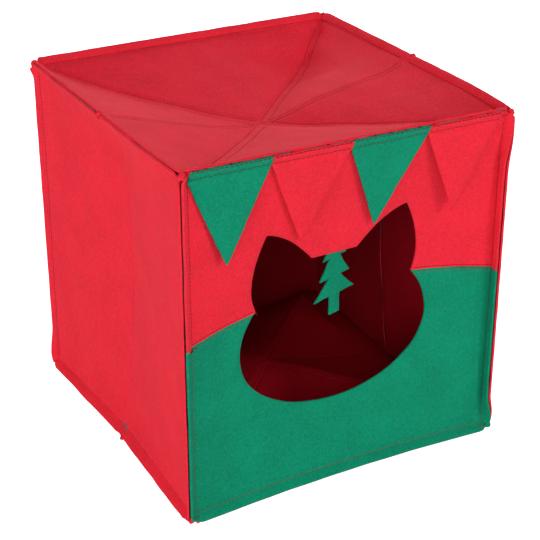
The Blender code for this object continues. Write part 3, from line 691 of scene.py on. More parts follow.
class Sewing:
    """Stitches gathered for one body and one thread, made into one piece at the end."""

    def __init__(self, seed):
        self.points = []
        self.faces = []
        self.count = 0
        self.draw = np.random.RandomState(seed)

    def add(self, points, faces):
        """Take in one more bit of thread."""
        self.points.append(points)
        self.faces += [tuple(index + self.count for index in face) for face in faces]
        self.count += len(points)

    def stitch(self, centre, along, out, length, radius):
        """One stitch that lies on the felt and dips in at both ends."""
        side = np.cross(out, along)
        bow = radius * (0.30 - 1.1 * CAPSULE_POINTS[:, 0] ** 2)
        shape = (centre + CAPSULE_POINTS[:, :1] * along * length / 2
                 + CAPSULE_POINTS[:, 1:2] * side * radius
                 + (CAPSULE_POINTS[:, 2:3] * radius * 0.85 + bow[:, None]) * out)
        self.add(shape, CAPSULE_FACES)

    def row(self, felt, path, depth=None, length=None, gap=None, radius=None):
        """A row of stitches along a path on a felt's pattern."""
        length = length or sizes().stitch
        gap = gap or sizes().stitch_gap
        radius = radius or sizes().thread
        depth = felt.thickness if depth is None else depth
        path = resample_line(np.array(path, float), 0.0010)
        points = felt.points(path, depth)
        outs = felt.normals(path)
        if depth <= 0:
            outs = -outs
        # A continuous dark thread sunk along the whole row, under and between the stitches: painted shade
        # of the pressed groove.
        self.strand(points[::3] - outs[::3] * 0.00022, 0.00038)
        steps = np.linalg.norm(np.diff(points, axis=0), axis=1)
        run = np.concatenate([[0], np.cumsum(steps)])
        count = int((run[-1] + gap) // (length + gap))
        start = (run[-1] - count * (length + gap) + gap) / 2
        for number in range(count):
            wobble = self.draw.normal(0, 1, 3)
            middle = start + number * (length + gap) + length / 2
            ends = [middle - 0.0008, middle, middle + 0.0008]
            spots = np.array([[np.interp(end, run, points[:, axis]) for axis in range(3)]
                              for end in ends])
            out = np.array([np.interp(middle, run, outs[:, axis]) for axis in range(3)])
            out /= np.linalg.norm(out)
            along = spots[2] - spots[0]
            along -= out * (along @ out)
            along /= np.linalg.norm(along)
            along += 0.035 * wobble[0] * np.cross(out, along)
            span = length * (1 + 0.06 * wobble[1])
            centre = spots[1] + 0.00008 * wobble[2] * np.cross(out, along)
            self.stitch(centre, along, out, span, radius)

    def rows(self, felt, paths, **how):
        """Several rows of stitches on one felt."""
        for path in paths:
            self.row(felt, path, **how)

    def strand(self, path, radius, sides=5):
        """A thin thread along a path, closed at both ends."""
        points, faces = tube(np.array(path, float), radius, sides)
        self.add(points, faces)

    def tack(self, centre, along, out, length, width, strands):
        """A bar tack: a dense bundle of threads across the felt."""
        along, out = unit(along), unit(out)
        side = np.cross(out, along)
        for number in range(strands):
            shift = (number / (strands - 1) - 0.5) * length
            wobble = self.draw.normal(0, 1, 4)
            middle = np.array(centre) + along * shift
            lean = along * 0.0004 * wobble[0]
            half = width / 2 * (1 + 0.12 * wobble[1])
            path = []
            for step in range(7):
                across = -1 + 2 * step / 6
                lift = 0.0006 * (1 - across ** 2) + 0.0002 * wobble[2] - 0.0005 * across ** 4
                path.append(middle + side * half * across + lean * across + out * lift)
            self.strand(path, sizes().thread)

    def tuft(self, centre, out, ends, length, spread=0.7):
        """Loose thread ends that stick out of a tack."""
        out = unit(out)
        for _ in range(ends):
            way = unit(out + spread * self.draw.normal(0, 0.6, 3))
            curl = 0.4 * self.draw.normal(0, 1, 3)
            reach = length * self.draw.uniform(0.5, 1.1)
            path = []
            for step in range(6):
                share = step / 5
                path.append(np.array(centre) + (way + curl * share * share * 0.6) * reach * share)
            self.strand(path, sizes().thread * 0.6, 4)

    def finish(self, name, body, material=None):
        """Make the piece and let it ride on its body."""
        points = np.concatenate(self.points)
        points[:, 2] = np.maximum(points[:, 2], LEAST_HEIGHT)
        piece = mesh_piece(name, points, self.faces, angle=80)
        return finish_piece(piece, body, "thread", material=material)


def axes_round(axis):
    """An axis of length one and two directions across it."""
    axis = unit(axis)
    side = unit(np.cross(axis, (0.3, 0.5, 0.81)))
    return axis, side, np.cross(axis, side)


def unit(way):
    """A direction of length one."""
    way = np.array(way, float)
    return way / np.linalg.norm(way)


def resample_line(path, pitch):
    """An open path with no step longer than pitch."""
    points = [path[0]]
    for here, after in zip(path[:-1], path[1:]):
        steps = max(1, int(math.ceil(np.linalg.norm(after - here) / pitch)))
        for step in range(1, steps + 1):
            points.append(here + (after - here) * step / steps)
    return np.array(points)


def tube(path, radius, sides=8, closed=False):
    """Points and faces of a round tube along a path."""
    count = len(path)
    if closed:
        ways = np.roll(path, -1, axis=0) - np.roll(path, 1, axis=0)
    else:
        ways = np.gradient(path, axis=0)
    ways /= np.linalg.norm(ways, axis=1)[:, None]
    side = unit(np.cross(ways[0], (0.31, 0.22, 0.92)))
    points = []
    for spot, way in zip(path, ways):
        side = unit(side - way * (side @ way))
        other = np.cross(way, side)
        for step in range(sides):
            angle = 2 * math.pi * step / sides
            points.append(spot + radius * (math.cos(angle) * side + math.sin(angle) * other))
    faces = ring_faces(count, sides, closed)
    if not closed:
        faces += [tuple(range(sides)), tuple(range((count - 1) * sides, count * sides))]
    return np.array(points), faces


def finish_piece(piece, body, slot, *nodes, material=None):
    """Give a piece its finish and its body, and hide the solids that it stands for."""
    material = material or material_of(slot)
    piece.data.materials.clear()
    piece.data.materials.append(material)
    # Painted shade: the inner faces get a darker copy of the felt, the floor's inner face its own less
    # dark copy.
    if piece.name in INNER_FACES and not piece.name.startswith(("pennant", "fir", "toy")):
        inner = "_floor" if piece.name.startswith("floor") else "_inside"
        piece.data.materials.append(wool_felt(material.name + inner))
        which = np.zeros(len(piece.data.polygons), np.int32)
        which[:INNER_FACES[piece.name]] = 1
        piece.data.polygons.foreach_set("material_index", which)
    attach(piece, body)
    if nodes:
        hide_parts(*nodes)
    return piece


def material_of(slot):
    """The material that a slot's name stands for."""
    if slot == "coated_wire":
        return wire_coat()
    if slot == "thread":
        return thread_material("seam_thread", tuple(colours().red_thread))
    return wool_felt(slot.replace("_felt", "_wool_felt"))


def node_group(name, inputs, outputs):
    """An empty node group with named sockets."""
    group = bpy.data.node_groups.new(name, "ShaderNodeTree")
    for label, kind, default in inputs:
        socket = group.interface.new_socket(label, in_out="INPUT", socket_type=kind)
        socket.default_value = default
    for label, kind in outputs:
        group.interface.new_socket(label, in_out="OUTPUT", socket_type=kind)
    return group, group.nodes.new("NodeGroupInput"), group.nodes.new("NodeGroupOutput")


def shader_node(tree, kind, values, output=0, **settings):
    """A new node's output, its sockets fed by other sockets or by plain values."""
    node = tree.nodes.new(kind)
    for label, value in settings.items():
        setattr(node, label, value)
    for socket, value in values.items():
        if isinstance(value, bpy.types.NodeSocket):
            tree.links.new(value, node.inputs[socket])
        else:
            node.inputs[socket].default_value = value
    return node.outputs[output]


def math_node(tree, operation, *values):
    """The result of a maths node."""
    return shader_node(tree, "ShaderNodeMath", dict(enumerate(values)), operation=operation)


def mix_colour(tree, share, first, second):
    """A mix of two colours."""
    return shader_node(tree, "ShaderNodeMix", {0: share, 6: first, 7: second}, 2, data_type="RGBA")


def noise_node(tree, where, scale, detail=2.0, roughness=0.5, distortion=0.0):
    """A noise texture over the bed's own space."""
    values = {"Vector": where, "Scale": scale, "Detail": detail, "Roughness": roughness,
              "Distortion": distortion}
    return shader_node(tree, "ShaderNodeTexNoise", values, "Fac")


def ramp(tree, value, low, high):
    """Nought below low, one above high, smooth between."""
    values = {"Value": value, "From Min": low, "From Max": high}
    return shader_node(tree, "ShaderNodeMapRange", values, "Result", interpolation_type="SMOOTHSTEP")


def turned_space(tree, where, angles, stretch):
    """The same space, turned and stretched, so that fibres run another way."""
    values = {"Vector": where, "Rotation": angles, "Scale": stretch}
    return shader_node(tree, "ShaderNodeMapping", values, "Vector")


def fibre_lines(tree, where, scale, width):
    """Thin curly lines where a noise crosses its middle, like single wool fibres."""
    noise = noise_node(tree, where, scale, 2.0, 0.55, 1.4)
    off = math_node(tree, "ABSOLUTE", math_node(tree, "SUBTRACT", noise, 0.5))
    return math_node(tree, "SUBTRACT", 1.0, ramp(tree, off, 0.0, width))


def pressed_felt_group():
    """Pressed wool: mottled colour, curly fibres and a soft uneven nap."""
    colour, value = "NodeSocketColor", "NodeSocketFloat"
    group, given, result = node_group("pressed_felt", [
        ("Wool", colour, (0.5, 0.1, 0.1, 1)),
        ("Fibre", colour, (0.8, 0.3, 0.3, 1)),
        ("Shade", colour, (0.3, 0.05, 0.05, 1)),
        ("Fibre Share", value, 0.3),
        ("Mottle", value, 0.3),
        ("Nap Depth", value, 0.00025),
    ], [("Colour", colour), ("Roughness", value), ("Normal", "NodeSocketVector")])
    wool, fibre, shade, fibre_share, mottle, nap_depth = given.outputs[:6]

    def times(first, second):
        return math_node(group, "MULTIPLY", first, second)

    def plus(first, second):
        return math_node(group, "ADD", first, second)

    where = shader_node(group, "ShaderNodeTexCoord", {}, "Object")
    first = turned_space(group, where, (0.3, 0.9, 0.2), (1.0, 1.0, 0.55))
    second = turned_space(group, where, (1.1, 0.2, 1.4), (0.55, 1.0, 1.0))
    patches = noise_node(group, where, 26.0)
    clouds = noise_node(group, where, 430.0, 3.0, 0.6)
    grain = noise_node(group, where, 1250.0, 2.0, 0.6)
    lines = math_node(group, "MAXIMUM", fibre_lines(group, first, 420.0, 0.020),
                      fibre_lines(group, second, 330.0, 0.016))
    flecks = times(lines, ramp(group, noise_node(group, where, 150.0), 0.42, 0.66))
    light = math_node(group, "MAXIMUM", flecks, times(ramp(group, grain, 0.56, 0.72), 0.55))
    dark = ramp(group, noise_node(group, second, 620.0, 2.0, 0.6), 0.60, 0.34)
    mottled = ramp(group, plus(times(patches, 0.30), times(clouds, 0.70)), 0.38, 0.64)
    body = mix_colour(group, times(mottled, mottle), wool, shade)
    body = mix_colour(group, times(dark, times(mottle, 0.45)), body, shade)
    body = mix_colour(group, times(light, fibre_share), body, fibre)
    group.links.new(body, result.inputs["Colour"])
    group.links.new(plus(0.88, times(light, 0.08)), result.inputs["Roughness"])
    height = plus(plus(times(grain, 0.6), times(clouds, 0.9)), times(flecks, 0.35))
    bump = shader_node(group, "ShaderNodeBump",
                       {"Strength": 0.8, "Height": height, "Distance": nap_depth}, "Normal")
    group.links.new(bump, result.inputs["Normal"])
    return group


def new_material(name, roughness=0.9):
    """A material with its Principled shader."""
    material = bpy.data.materials.new(name)
    material.use_nodes = True
    shader = material.node_tree.nodes["Principled BSDF"]
    shader.inputs["Roughness"].default_value = roughness
    return material, material.node_tree, shader


def scaled(colour, share):
    """A colour made lighter or darker."""
    return tuple(min(1.0, part * share) for part in colour[:3]) + (1.0,)


def toward(colour, other, share):
    """A colour moved towards another."""
    return tuple(a + (b - a) * share for a, b in zip(colour[:3], other[:3])) + (1.0,)


def felt_looks():
    """Every felt's wool, fibre and shade, its fibre share and mottle, and its sheen and tint. The copies
    for the inner faces and for the floor's inner face are the same felt painted darker: painted shade.
    """
    red, green = tuple(colours().red), tuple(colours().green)
    # Painted shade: the inner faces take the felt painted darker, the floor's inner face a little less
    # dark.
    deep = (red[0] * 0.46, red[1] * 0.10, red[2] * 0.30, 1.0)
    floor_painted_shade = (red[0] * 0.62, red[1] * 0.14, red[2] * 0.40, 1.0)
    dusk = (1.0, 0.2, 0.25, 1.0)
    return {
        "red_wool_felt": (red, toward(red, (1, 0.24, 0.29), 0.50), scaled(red, 0.72),
                          0.30, 0.60, 0.055, (1.0, 0.55, 0.62, 1.0)),
        "red_wool_felt_inside": (deep, scaled(deep, 1.3), scaled(deep, 0.74), 0.2, 0.5, 0.0, dusk),
        "red_wool_felt_floor": (floor_painted_shade, scaled(floor_painted_shade, 1.2), scaled(floor_painted_shade, 0.74), 0.2, 0.5, 0.0, dusk),
        "green_wool_felt": (green, toward(green, (0.07, 0.62, 0.42), 0.45), scaled(green, 0.58),
                            0.42, 0.62, 0.015, (0.10, 1.0, 0.70, 1.0)),
        "green_wool_felt_inside": (scaled(green, 0.46), scaled(green, 0.6), scaled(green, 0.34),
                                   0.2, 0.5, 0.02, (0.2, 1.0, 0.6, 1.0)),
    }


def wool_felt(name):
    """Wool felt in one of the felts' colours."""
    found = bpy.data.materials.get(name)
    if found:
        return found
    look = felt_looks()[name]
    material, tree, shader = new_material(name)
    felt = tree.nodes.new("ShaderNodeGroup")
    felt.node_tree = bpy.data.node_groups.get("pressed_felt") or pressed_felt_group()
    labels = ("Wool", "Fibre", "Shade", "Fibre Share", "Mottle", "Nap Depth")
    for label, value in zip(labels, look[:5] + (NAP_DEPTH,)):
        felt.inputs[label].default_value = value
    for label, socket in (("Colour", "Base Color"), ("Roughness", "Roughness"), ("Normal", "Normal")):
        tree.links.new(felt.outputs[label], shader.inputs[socket])
    shader.inputs["Specular IOR Level"].default_value = 0.12
    shader.inputs["Sheen Weight"].default_value = look[5]
    shader.inputs["Sheen Roughness"].default_value = 0.32
    shader.inputs["Sheen Tint"].default_value = look[6]
    return material


def thread_material(name, colour):
    """Twisted sewing thread."""
    found = bpy.data.materials.get(name)
    if found:
        return found
    material, tree, shader = new_material(name, 0.85)
    noise = noise_node(tree, shader_node(tree, "ShaderNodeTexCoord", {}, "Object"), 1400.0, 2.0, 0.6)
    tone = mix_colour(tree, ramp(tree, noise, 0.35, 0.65), scaled(colour, 0.65), scaled(colour, 1.25))
    tree.links.new(tone, shader.inputs["Base Color"])
    bump = shader_node(tree, "ShaderNodeBump", {"Distance": 0.0002, "Height": noise}, "Normal")
    tree.links.new(bump, shader.inputs["Normal"])
    shader.inputs["Sheen Weight"].default_value = 0.03
    shader.inputs["Specular IOR Level"].default_value = 0.1
    return material


def wire_coat():
    """The smooth dark coating of the spring wire."""
    found = bpy.data.materials.get("wire_coating")
    if found:
        return found
    material, tree, shader = new_material("wire_coating", 0.42)
    noise = noise_node(tree, shader_node(tree, "ShaderNodeTexCoord", {}, "Object"), 260.0, 3.0, 0.6)
    coat = tuple(colours().wire)
    tone = mix_colour(tree, ramp(tree, noise, 0.3, 0.7), coat, scaled(coat, 2.2))
    tree.links.new(tone, shader.inputs["Base Color"])
    rough = math_node(tree, "ADD", 0.34, math_node(tree, "MULTIPLY", noise, 0.2))
    tree.links.new(rough, shader.inputs["Roughness"])
    return material


def seam_height(x):
    """Height of the arched seam between the red and the green felt."""
    across = np.clip(np.abs(x) / HALF, 0, 1)
    return SEAM_SIDE_HEIGHT + SEAM_RISE * (1 - across ** 2)


def bezier(start, pull, end, steps):
    """Points of a quadratic curve, without its first point."""
    start, pull, end = np.array(start), np.array(pull), np.array(end)
    shares = [step / steps for step in range(1, steps + 1)]
    return [tuple((1 - t) ** 2 * start + 2 * t * (1 - t) * pull + t * t * end) for t in shares]


def notch_half_width():
    """Half the entrance's width where the ears meet the cheeks."""
    rise = (NOTCH_HEIGHT - HEAD_CENTRE_HEIGHT) / CROWN_RISE
    return HEAD_HALF_WIDTH * math.sqrt(1 - rise * rise)


def ear_half():
    """From the notch up round the ear to the lintel, on one side."""
    notch = (notch_half_width(), NOTCH_HEIGHT)
    outer = bezier(notch, EAR_OUTER_PULL, EAR_TIP, 20)
    inner = bezier(EAR_TIP, EAR_INNER_PULL, (LINTEL_HALF_WIDTH, LINTEL_HEIGHT), 16)
    return [notch] + outer + inner


def cheek_half():
    """From the notch down round the cheek to the chin, on one side."""
    start = math.asin((NOTCH_HEIGHT - HEAD_CENTRE_HEIGHT) / CROWN_RISE)
    points = []
    for step in range(49):
        angle = start + (-math.pi / 2 - start) * step / 48
        drop = CROWN_RISE if angle > 0 else CHIN_DROP
        points.append((HEAD_HALF_WIDTH * math.cos(angle), HEAD_CENTRE_HEIGHT + drop * math.sin(angle)))
    return points


def both_sides(half):
    """A half outline on the left, from its end to its start, and on the right."""
    left = [(ENTRANCE_X - across, height) for across, height in reversed(half)]
    right = [(ENTRANCE_X + across, height) for across, height in half]
    return left, right


def seam_run(start, end, lift):
    """Points along the arched seam."""
    return [(x, seam_height(x) + lift) for x in np.linspace(start, end, 24)]


def corner_cut(x, z, lip, trim=0.0):
    """The trimmed corner of a panel's turned-out edges, in order from its side to its end."""
    across, up = (1 if x > 0 else -1), (1 if z > MID_Z else -1)
    end = lip - trim
    return [(x + across * lip, z - up * 0.006), (x + across * (lip - 0.001), z + up * 0.001),
            (x + across * 0.0045, z + up * 0.0055), (x - across * 0.002, z + up * (end - 0.001)),
            (x - across * 0.008, z + up * end)]


def front_outline(upper):
    """The flat pattern of the red or of the green front, with its turned-out edges."""
    far, notch = HALF + sizes().lip, notch_half_width()
    lift = 0.0001 if upper else -0.0001
    left, right = both_sides(ear_half() if upper else cheek_half())
    outline = seam_run(-far, ENTRANCE_X - notch, lift)
    outline += left[::-1][1:] + right[::-1][0 if upper else 1:-1]
    outline += seam_run(ENTRANCE_X + notch, far, lift)
    z, trim = (TOP_Z, 0.0024) if upper else (FLOOR_Z, 0.0010)
    outline += corner_cut(HALF, z, sizes().lip, trim)
    outline += corner_cut(-HALF, z, sizes().lip, trim)[::-1]
    return outline


def points_near_seams():
    """Extra pattern points where the front or the rear bends into its turned-out edges."""
    points = []
    for edge in (-HALF, HALF):
        for offset in BEND_OFFSETS:
            points += [(edge + offset, v) for v in np.arange(FLOOR_Z - 0.008, TOP_Z + 0.009, 0.004)]
    for edge in (FLOOR_Z, TOP_Z):
        for offset in BEND_OFFSETS:
            points += [(u, edge + offset) for u in np.arange(-HALF + 0.006, HALF - 0.005, 0.004)]
    return points


def framed_lips(end, end_name):
    """Name, root, run, side and span of the edges that are sewn to the front or the rear."""
    upright = (FLOOR_Z - SEAM_OVERRUN, TOP_Z + SEAM_OVERRUN)
    level = (-HALF - SEAM_OVERRUN, HALF + SEAM_OVERRUN)
    return (("left_wall_" + end_name, (-HALF, end * HALF, 0), Z, -X, upright),
            ("right_wall_" + end_name, (HALF, end * HALF, 0), Z, X, upright),
            ("top_" + end_name, (0, end * HALF, TOP_Z), X, Z, level),
            ("floor_" + end_name, (0, end * HALF, FLOOR_Z), X, -Z, level))


def neighbour_lip(stem, root, along, ahead, aside, span, body, seed, turn=SIDE_TURN, close=SEAM_CLOSE,
                  trim=0.0, tapers=(0.004, 0.004), rows=()):
    """The turned-out edge of a panel whose own body lies across the seam."""
    low, high = span
    lip = sizes().lip - trim
    felt = Felt(lip_place(root, along, ahead, aside, turn, close), aside, ((low + high) / 2, -BEND / 2),
                ripple=(Ripple(seed), 0.00012, 0.03), rows=rows)
    outline = [(low, -BEND / 2), (high, -BEND / 2), (high, lip - tapers[1] - 0.001),
               (high - 0.0025, lip - 0.4 * tapers[1]), (high - 0.010, lip), (low + 0.010, lip),
               (low + 0.0025, lip - 0.4 * tapers[0]), (low, lip - tapers[0] - 0.001)]
    extra = [(u, offset) for offset in (-0.0009, 0.0, 0.0009, 0.0018, 0.0036, 0.0065)
             for u in np.arange(low + 0.002, high - 0.001, 0.004)]
    piece = cut_felt(stem + "_edge", felt, outline, pitch=0.004, edge_pitch=0.0025, extra=extra,
                     wave=(Ripple(seed + 1), 0.00045, 0.060))
    finish_piece(piece, body, "red_felt", stem + "_lip")
    return felt


def fold_in(piece):
    """Give a side wall's piece its own copy of its mesh."""
    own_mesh(piece)


class BED_OT_front(bpy.types.Operator):
    """Cut and lay the red and the green front, with the entrance and the arched seam"""

    bl_idname = "cat_bed.front"
    bl_label = "Front"

    def execute(self, context):
        notch = notch_half_width()
        arcs = ((-HALF + 0.002, ENTRANCE_X - notch - ROW_IN), (ENTRANCE_X + notch + ROW_IN, HALF - 0.002))
        red_rows = [[(x, z + ROW_IN) for x, z in seam_run(start, end, 0)] for start, end in arcs]
        green_rows = [[(x, z - 0.0036) for x, z in seam_run(start, end, 0)] for start, end in arcs]
        for side in (-1, 1):
            at = side * (HALF - ROW_IN)
            red_rows.append([(at, seam_height(HALF) + 0.003), (at, TOP_Z - 0.006)])
            green_rows.append([(at, FLOOR_Z + 0.002), (at, seam_height(HALF) - 0.003)])
        green_rows.append([(-HALF + 0.004, FLOOR_Z + LIP_ROW), (HALF - 0.004, FLOOR_Z + LIP_ROW)])
        red = Felt(overlapping_place, -Y, (0, 0.33), ripple=(Ripple(11), 0.00022, 0.045), rows=red_rows)
        green = Felt(front_place, -Y, (0, 0.05), ripple=(Ripple(12), 0.00022, 0.045), rows=green_rows)
        for path in CREASES:
            green.groove(path, 0.0008, 0.0013)
        extra = points_near_seams()
        sewing = Sewing(31)
        for felt, rows, colour, part in ((red, red_rows, "red_felt", "upper"),
                                         (green, green_rows, "green_felt", "lower")):
            piece = cut_felt("front_" + colour, felt, front_outline(part == "upper"), extra=extra,
                             edge_pitch=0.0022, wave=(Ripple(13), 0.00020, 0.040))
            finish_piece(piece, "front_frame", colour, "front_" + part + "_panel")
            sewing.rows(felt, rows)
        for lip, form in zip(framed_lips(-1, "front"), FRONT_LIP_FORMS):
            stem, root, along, aside, span = lip
            neighbour_lip(stem, root, along, -Y, aside, span, "front_frame", *form)
        sewing.finish("front_stitches", "front_frame")
        return {"FINISHED"}


class BED_OT_rear(bpy.types.Operator):
    """Cut and lay the rear panel and the edges sewn to it"""

    bl_idname = "cat_bed.rear"
    bl_label = "Rear"

    def execute(self, context):
        lip = sizes().lip
        rows = [[(side * (HALF - ROW_IN), FLOOR_Z + 0.006), (side * (HALF - ROW_IN), TOP_Z - 0.006)]
                for side in (1, -1)]
        rows += [[(-HALF + 0.006, z), (HALF - 0.006, z)] for z in (FLOOR_Z + ROW_IN, TOP_Z - ROW_IN)]
        felt = Felt(rear_place, Y, (0, 0.2), ripple=(Ripple(41), 0.0003, 0.05), rows=rows)
        outline = corner_cut(HALF, FLOOR_Z, lip)[::-1] + corner_cut(HALF, TOP_Z, lip)
        outline += corner_cut(-HALF, TOP_Z, lip)[::-1] + corner_cut(-HALF, FLOOR_Z, lip)
        piece = cut_felt("rear_felt", felt, outline, extra=points_near_seams(),
                         wave=(Ripple(42), 0.0003, 0.050))
        finish_piece(piece, "rear_frame", "red_felt", "rear_panel")
        sewing = Sewing(43)
        for number, (stem, root, along, aside, span) in enumerate(framed_lips(1, "rear")):
            row = [(span[0] + 0.008, LIP_ROW), (span[1] - 0.008, LIP_ROW)]
            edge = neighbour_lip(stem, root, along, Y, aside, span, "rear_frame", 44 + number * 3,
                                 rows=[row])
            sewing.row(edge, row)
        sewing.rows(felt, rows)
        sewing.finish("rear_stitches", "rear_frame")
        return {"FINISHED"}


class BED_OT_walls(bpy.types.Operator):
    """Cut and lay the four half walls with the edges sewn to them"""

    bl_idname = "cat_bed.walls"
    bl_label = "Side walls"

    def execute(self, context):
        for side, end, stem in quarters():
            self.half_wall(side, end, stem)
        return {"FINISHED"}

    def half_wall(self, side, end, stem):
        """One half wall, its top and floor edges and its stitches."""
        body = stem + "_wall_half"
        seed = 60 + (side + 1) * 10 + (end + 1) * 4
        inner, outer, upright = end * 0.008, end * (HALF - 0.008), end * (HALF - 0.0040)
        rows = [[(upright, FLOOR_Z + 0.006), (upright, TOP_Z - 0.006)]]
        rows += [[(inner, z), (outer, z)] for z in (FLOOR_Z + ROW_IN, TOP_Z - ROW_IN)]
        felt = Felt(wall_place(side), (side, 0, 0), (end * 0.09, 0.2),
                    ripple=(Ripple(seed), 0.0003, 0.055), rows=rows)
        near, far = 0.00006, HALF - 0.0008
        low, high = FLOOR_Z - sizes().lip, TOP_Z + sizes().lip
        outline = [(near, low + 0.0024), (near, high - 0.0012), (0.004, high - 0.0014), (0.012, high),
                   (far - 0.006, high), (far + 0.001, high - 0.0025), (far + 0.002, TOP_Z + 0.004),
                   (far, TOP_Z - 0.001), (far, FLOOR_Z + 0.001), (far + 0.002, FLOOR_Z - 0.004),
                   (far + 0.001, low + 0.0035), (far - 0.006, low + 0.0013), (0.012, low + 0.0013),
                   (0.004, low + 0.0024)]
        extra = [(end * u, edge + offset) for edge in (FLOOR_Z, TOP_Z) for offset in BEND_OFFSETS
                 for u in np.arange(0.003, far - 0.002, 0.004)]
        piece = cut_felt(stem + "_wall_felt", felt, [(end * u, v) for u, v in outline], extra=extra,
                         wave=(Ripple(seed + 1), 0.00035, 0.055))
        finish_piece(piece, body, "red_felt", stem + "_wall")
        fold_in(piece)
        sewing = Sewing(seed + 2)
        span = sorted((end * 0.00006, end * (HALF + 0.001)))
        row = [(inner, LIP_ROW), (outer, LIP_ROW)]
        for level, z, up, trim in (("top_", TOP_Z, Z, 0.0), ("floor_", FLOOR_Z, -Z, 0.0013)):
            edge = neighbour_lip(level + stem, (side * HALF, 0, z), Y, X * side, up, span, body, seed + 3,
                                 trim=trim, tapers=(0.0012, 0.004)[::end], rows=[row])
            sewing.row(edge, row)
        sewing.rows(felt, rows)
        fold_in(sewing.finish(stem + "_wall_stitches", body))


def level_split():
    """Where the flaps and the gores of the top and the floor part, in one quarter."""
    trim = BAND_HALF * math.sqrt(2)
    base = HALF - 0.0006
    tip = HALF - FLAP_TIP_SETBACK
    meet = base - (FLAP_TIP_SETBACK - trim)
    return trim, base, tip, meet


class BED_OT_top_and_floor(bpy.types.Operator):
    """Cut and lay the flaps and gores of the top and the floor"""

    bl_idname = "cat_bed.top_and_floor"
    bl_label = "Top and floor"

    def execute(self, context):
        for level in ("top", "floor"):
            for end, end_name in ENDS:
                self.flap(level, end, level + "_" + end_name)
                for side, side_name in SIDES:
                    self.gore(level, side, end, level + "_" + side_name + "_" + end_name)
        return {"FINISHED"}

    def surface(self, level, rows=()):
        """The surface that the top's or the floor's felt lies on."""
        top = level == "top"
        felt = Felt(level_place(top), (0, 0, 1 if top else -1), (0.06, 0.03),
                    ripple=(Ripple(101 if top else 102), 0.00028, 0.05))
        for path in rows:
            felt.groove(path, 0.00055, 0.0009)
        return felt

    def settle(self, piece, level):
        """Give a piece its own copy of its mesh."""
        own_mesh(piece)

    def flap(self, level, end, stem):
        """The triangle that hinges on the front or the rear seam."""
        trim, base, tip, meet = level_split()
        gap = 0.00004
        outline = [(-tip, base), (tip, base), (meet - trim - gap, meet), (0, trim + gap),
                   (-meet + trim + gap, meet)]
        piece = cut_felt(stem + "_flap_felt", self.surface(level), [(x, end * y) for x, y in outline],
                         pitch=0.0045, rounding=0.00015)
        finish_piece(piece, stem, "red_felt", stem + "_flap")
        self.settle(piece, level)

    def gore(self, level, side, end, stem):
        """The part that hinges on a half wall and folds over the diagonal."""
        trim, base, tip, meet = level_split()
        near = 0.00005
        outline = [(base, near), (base, base), (tip, base), (meet - trim, meet), (near, near + trim),
                   (near, near)]
        half = 0.0046 / math.sqrt(2)
        rows = [[(side * (run - offset), end * (run + offset))
                 for run in np.linspace(0.006, HALF - 0.010, 40)] for offset in (-half, half)]
        rows.append([(side * x, end * 0.0030) for x in np.linspace(0.010, HALF - 0.006, 30)])
        felt = self.surface(level, rows)
        piece = cut_felt(stem + "_gore_felt", felt, [(side * x, end * y) for x, y in outline],
                         pitch=0.0045, rounding=0.00015)
        finish_piece(piece, stem, "red_felt", stem + "_gore")
        self.settle(piece, level)
        sewing = Sewing(110 + (side + 1) * 2 + (end + 1))
        for depth in (felt.thickness, 0.0):
            sewing.rows(felt, rows[:2], depth=depth)
            sewing.row(felt, rows[2], depth=depth, radius=0.00034)
        self.settle(sewing.finish(stem + "_gore_stitches", stem), level)


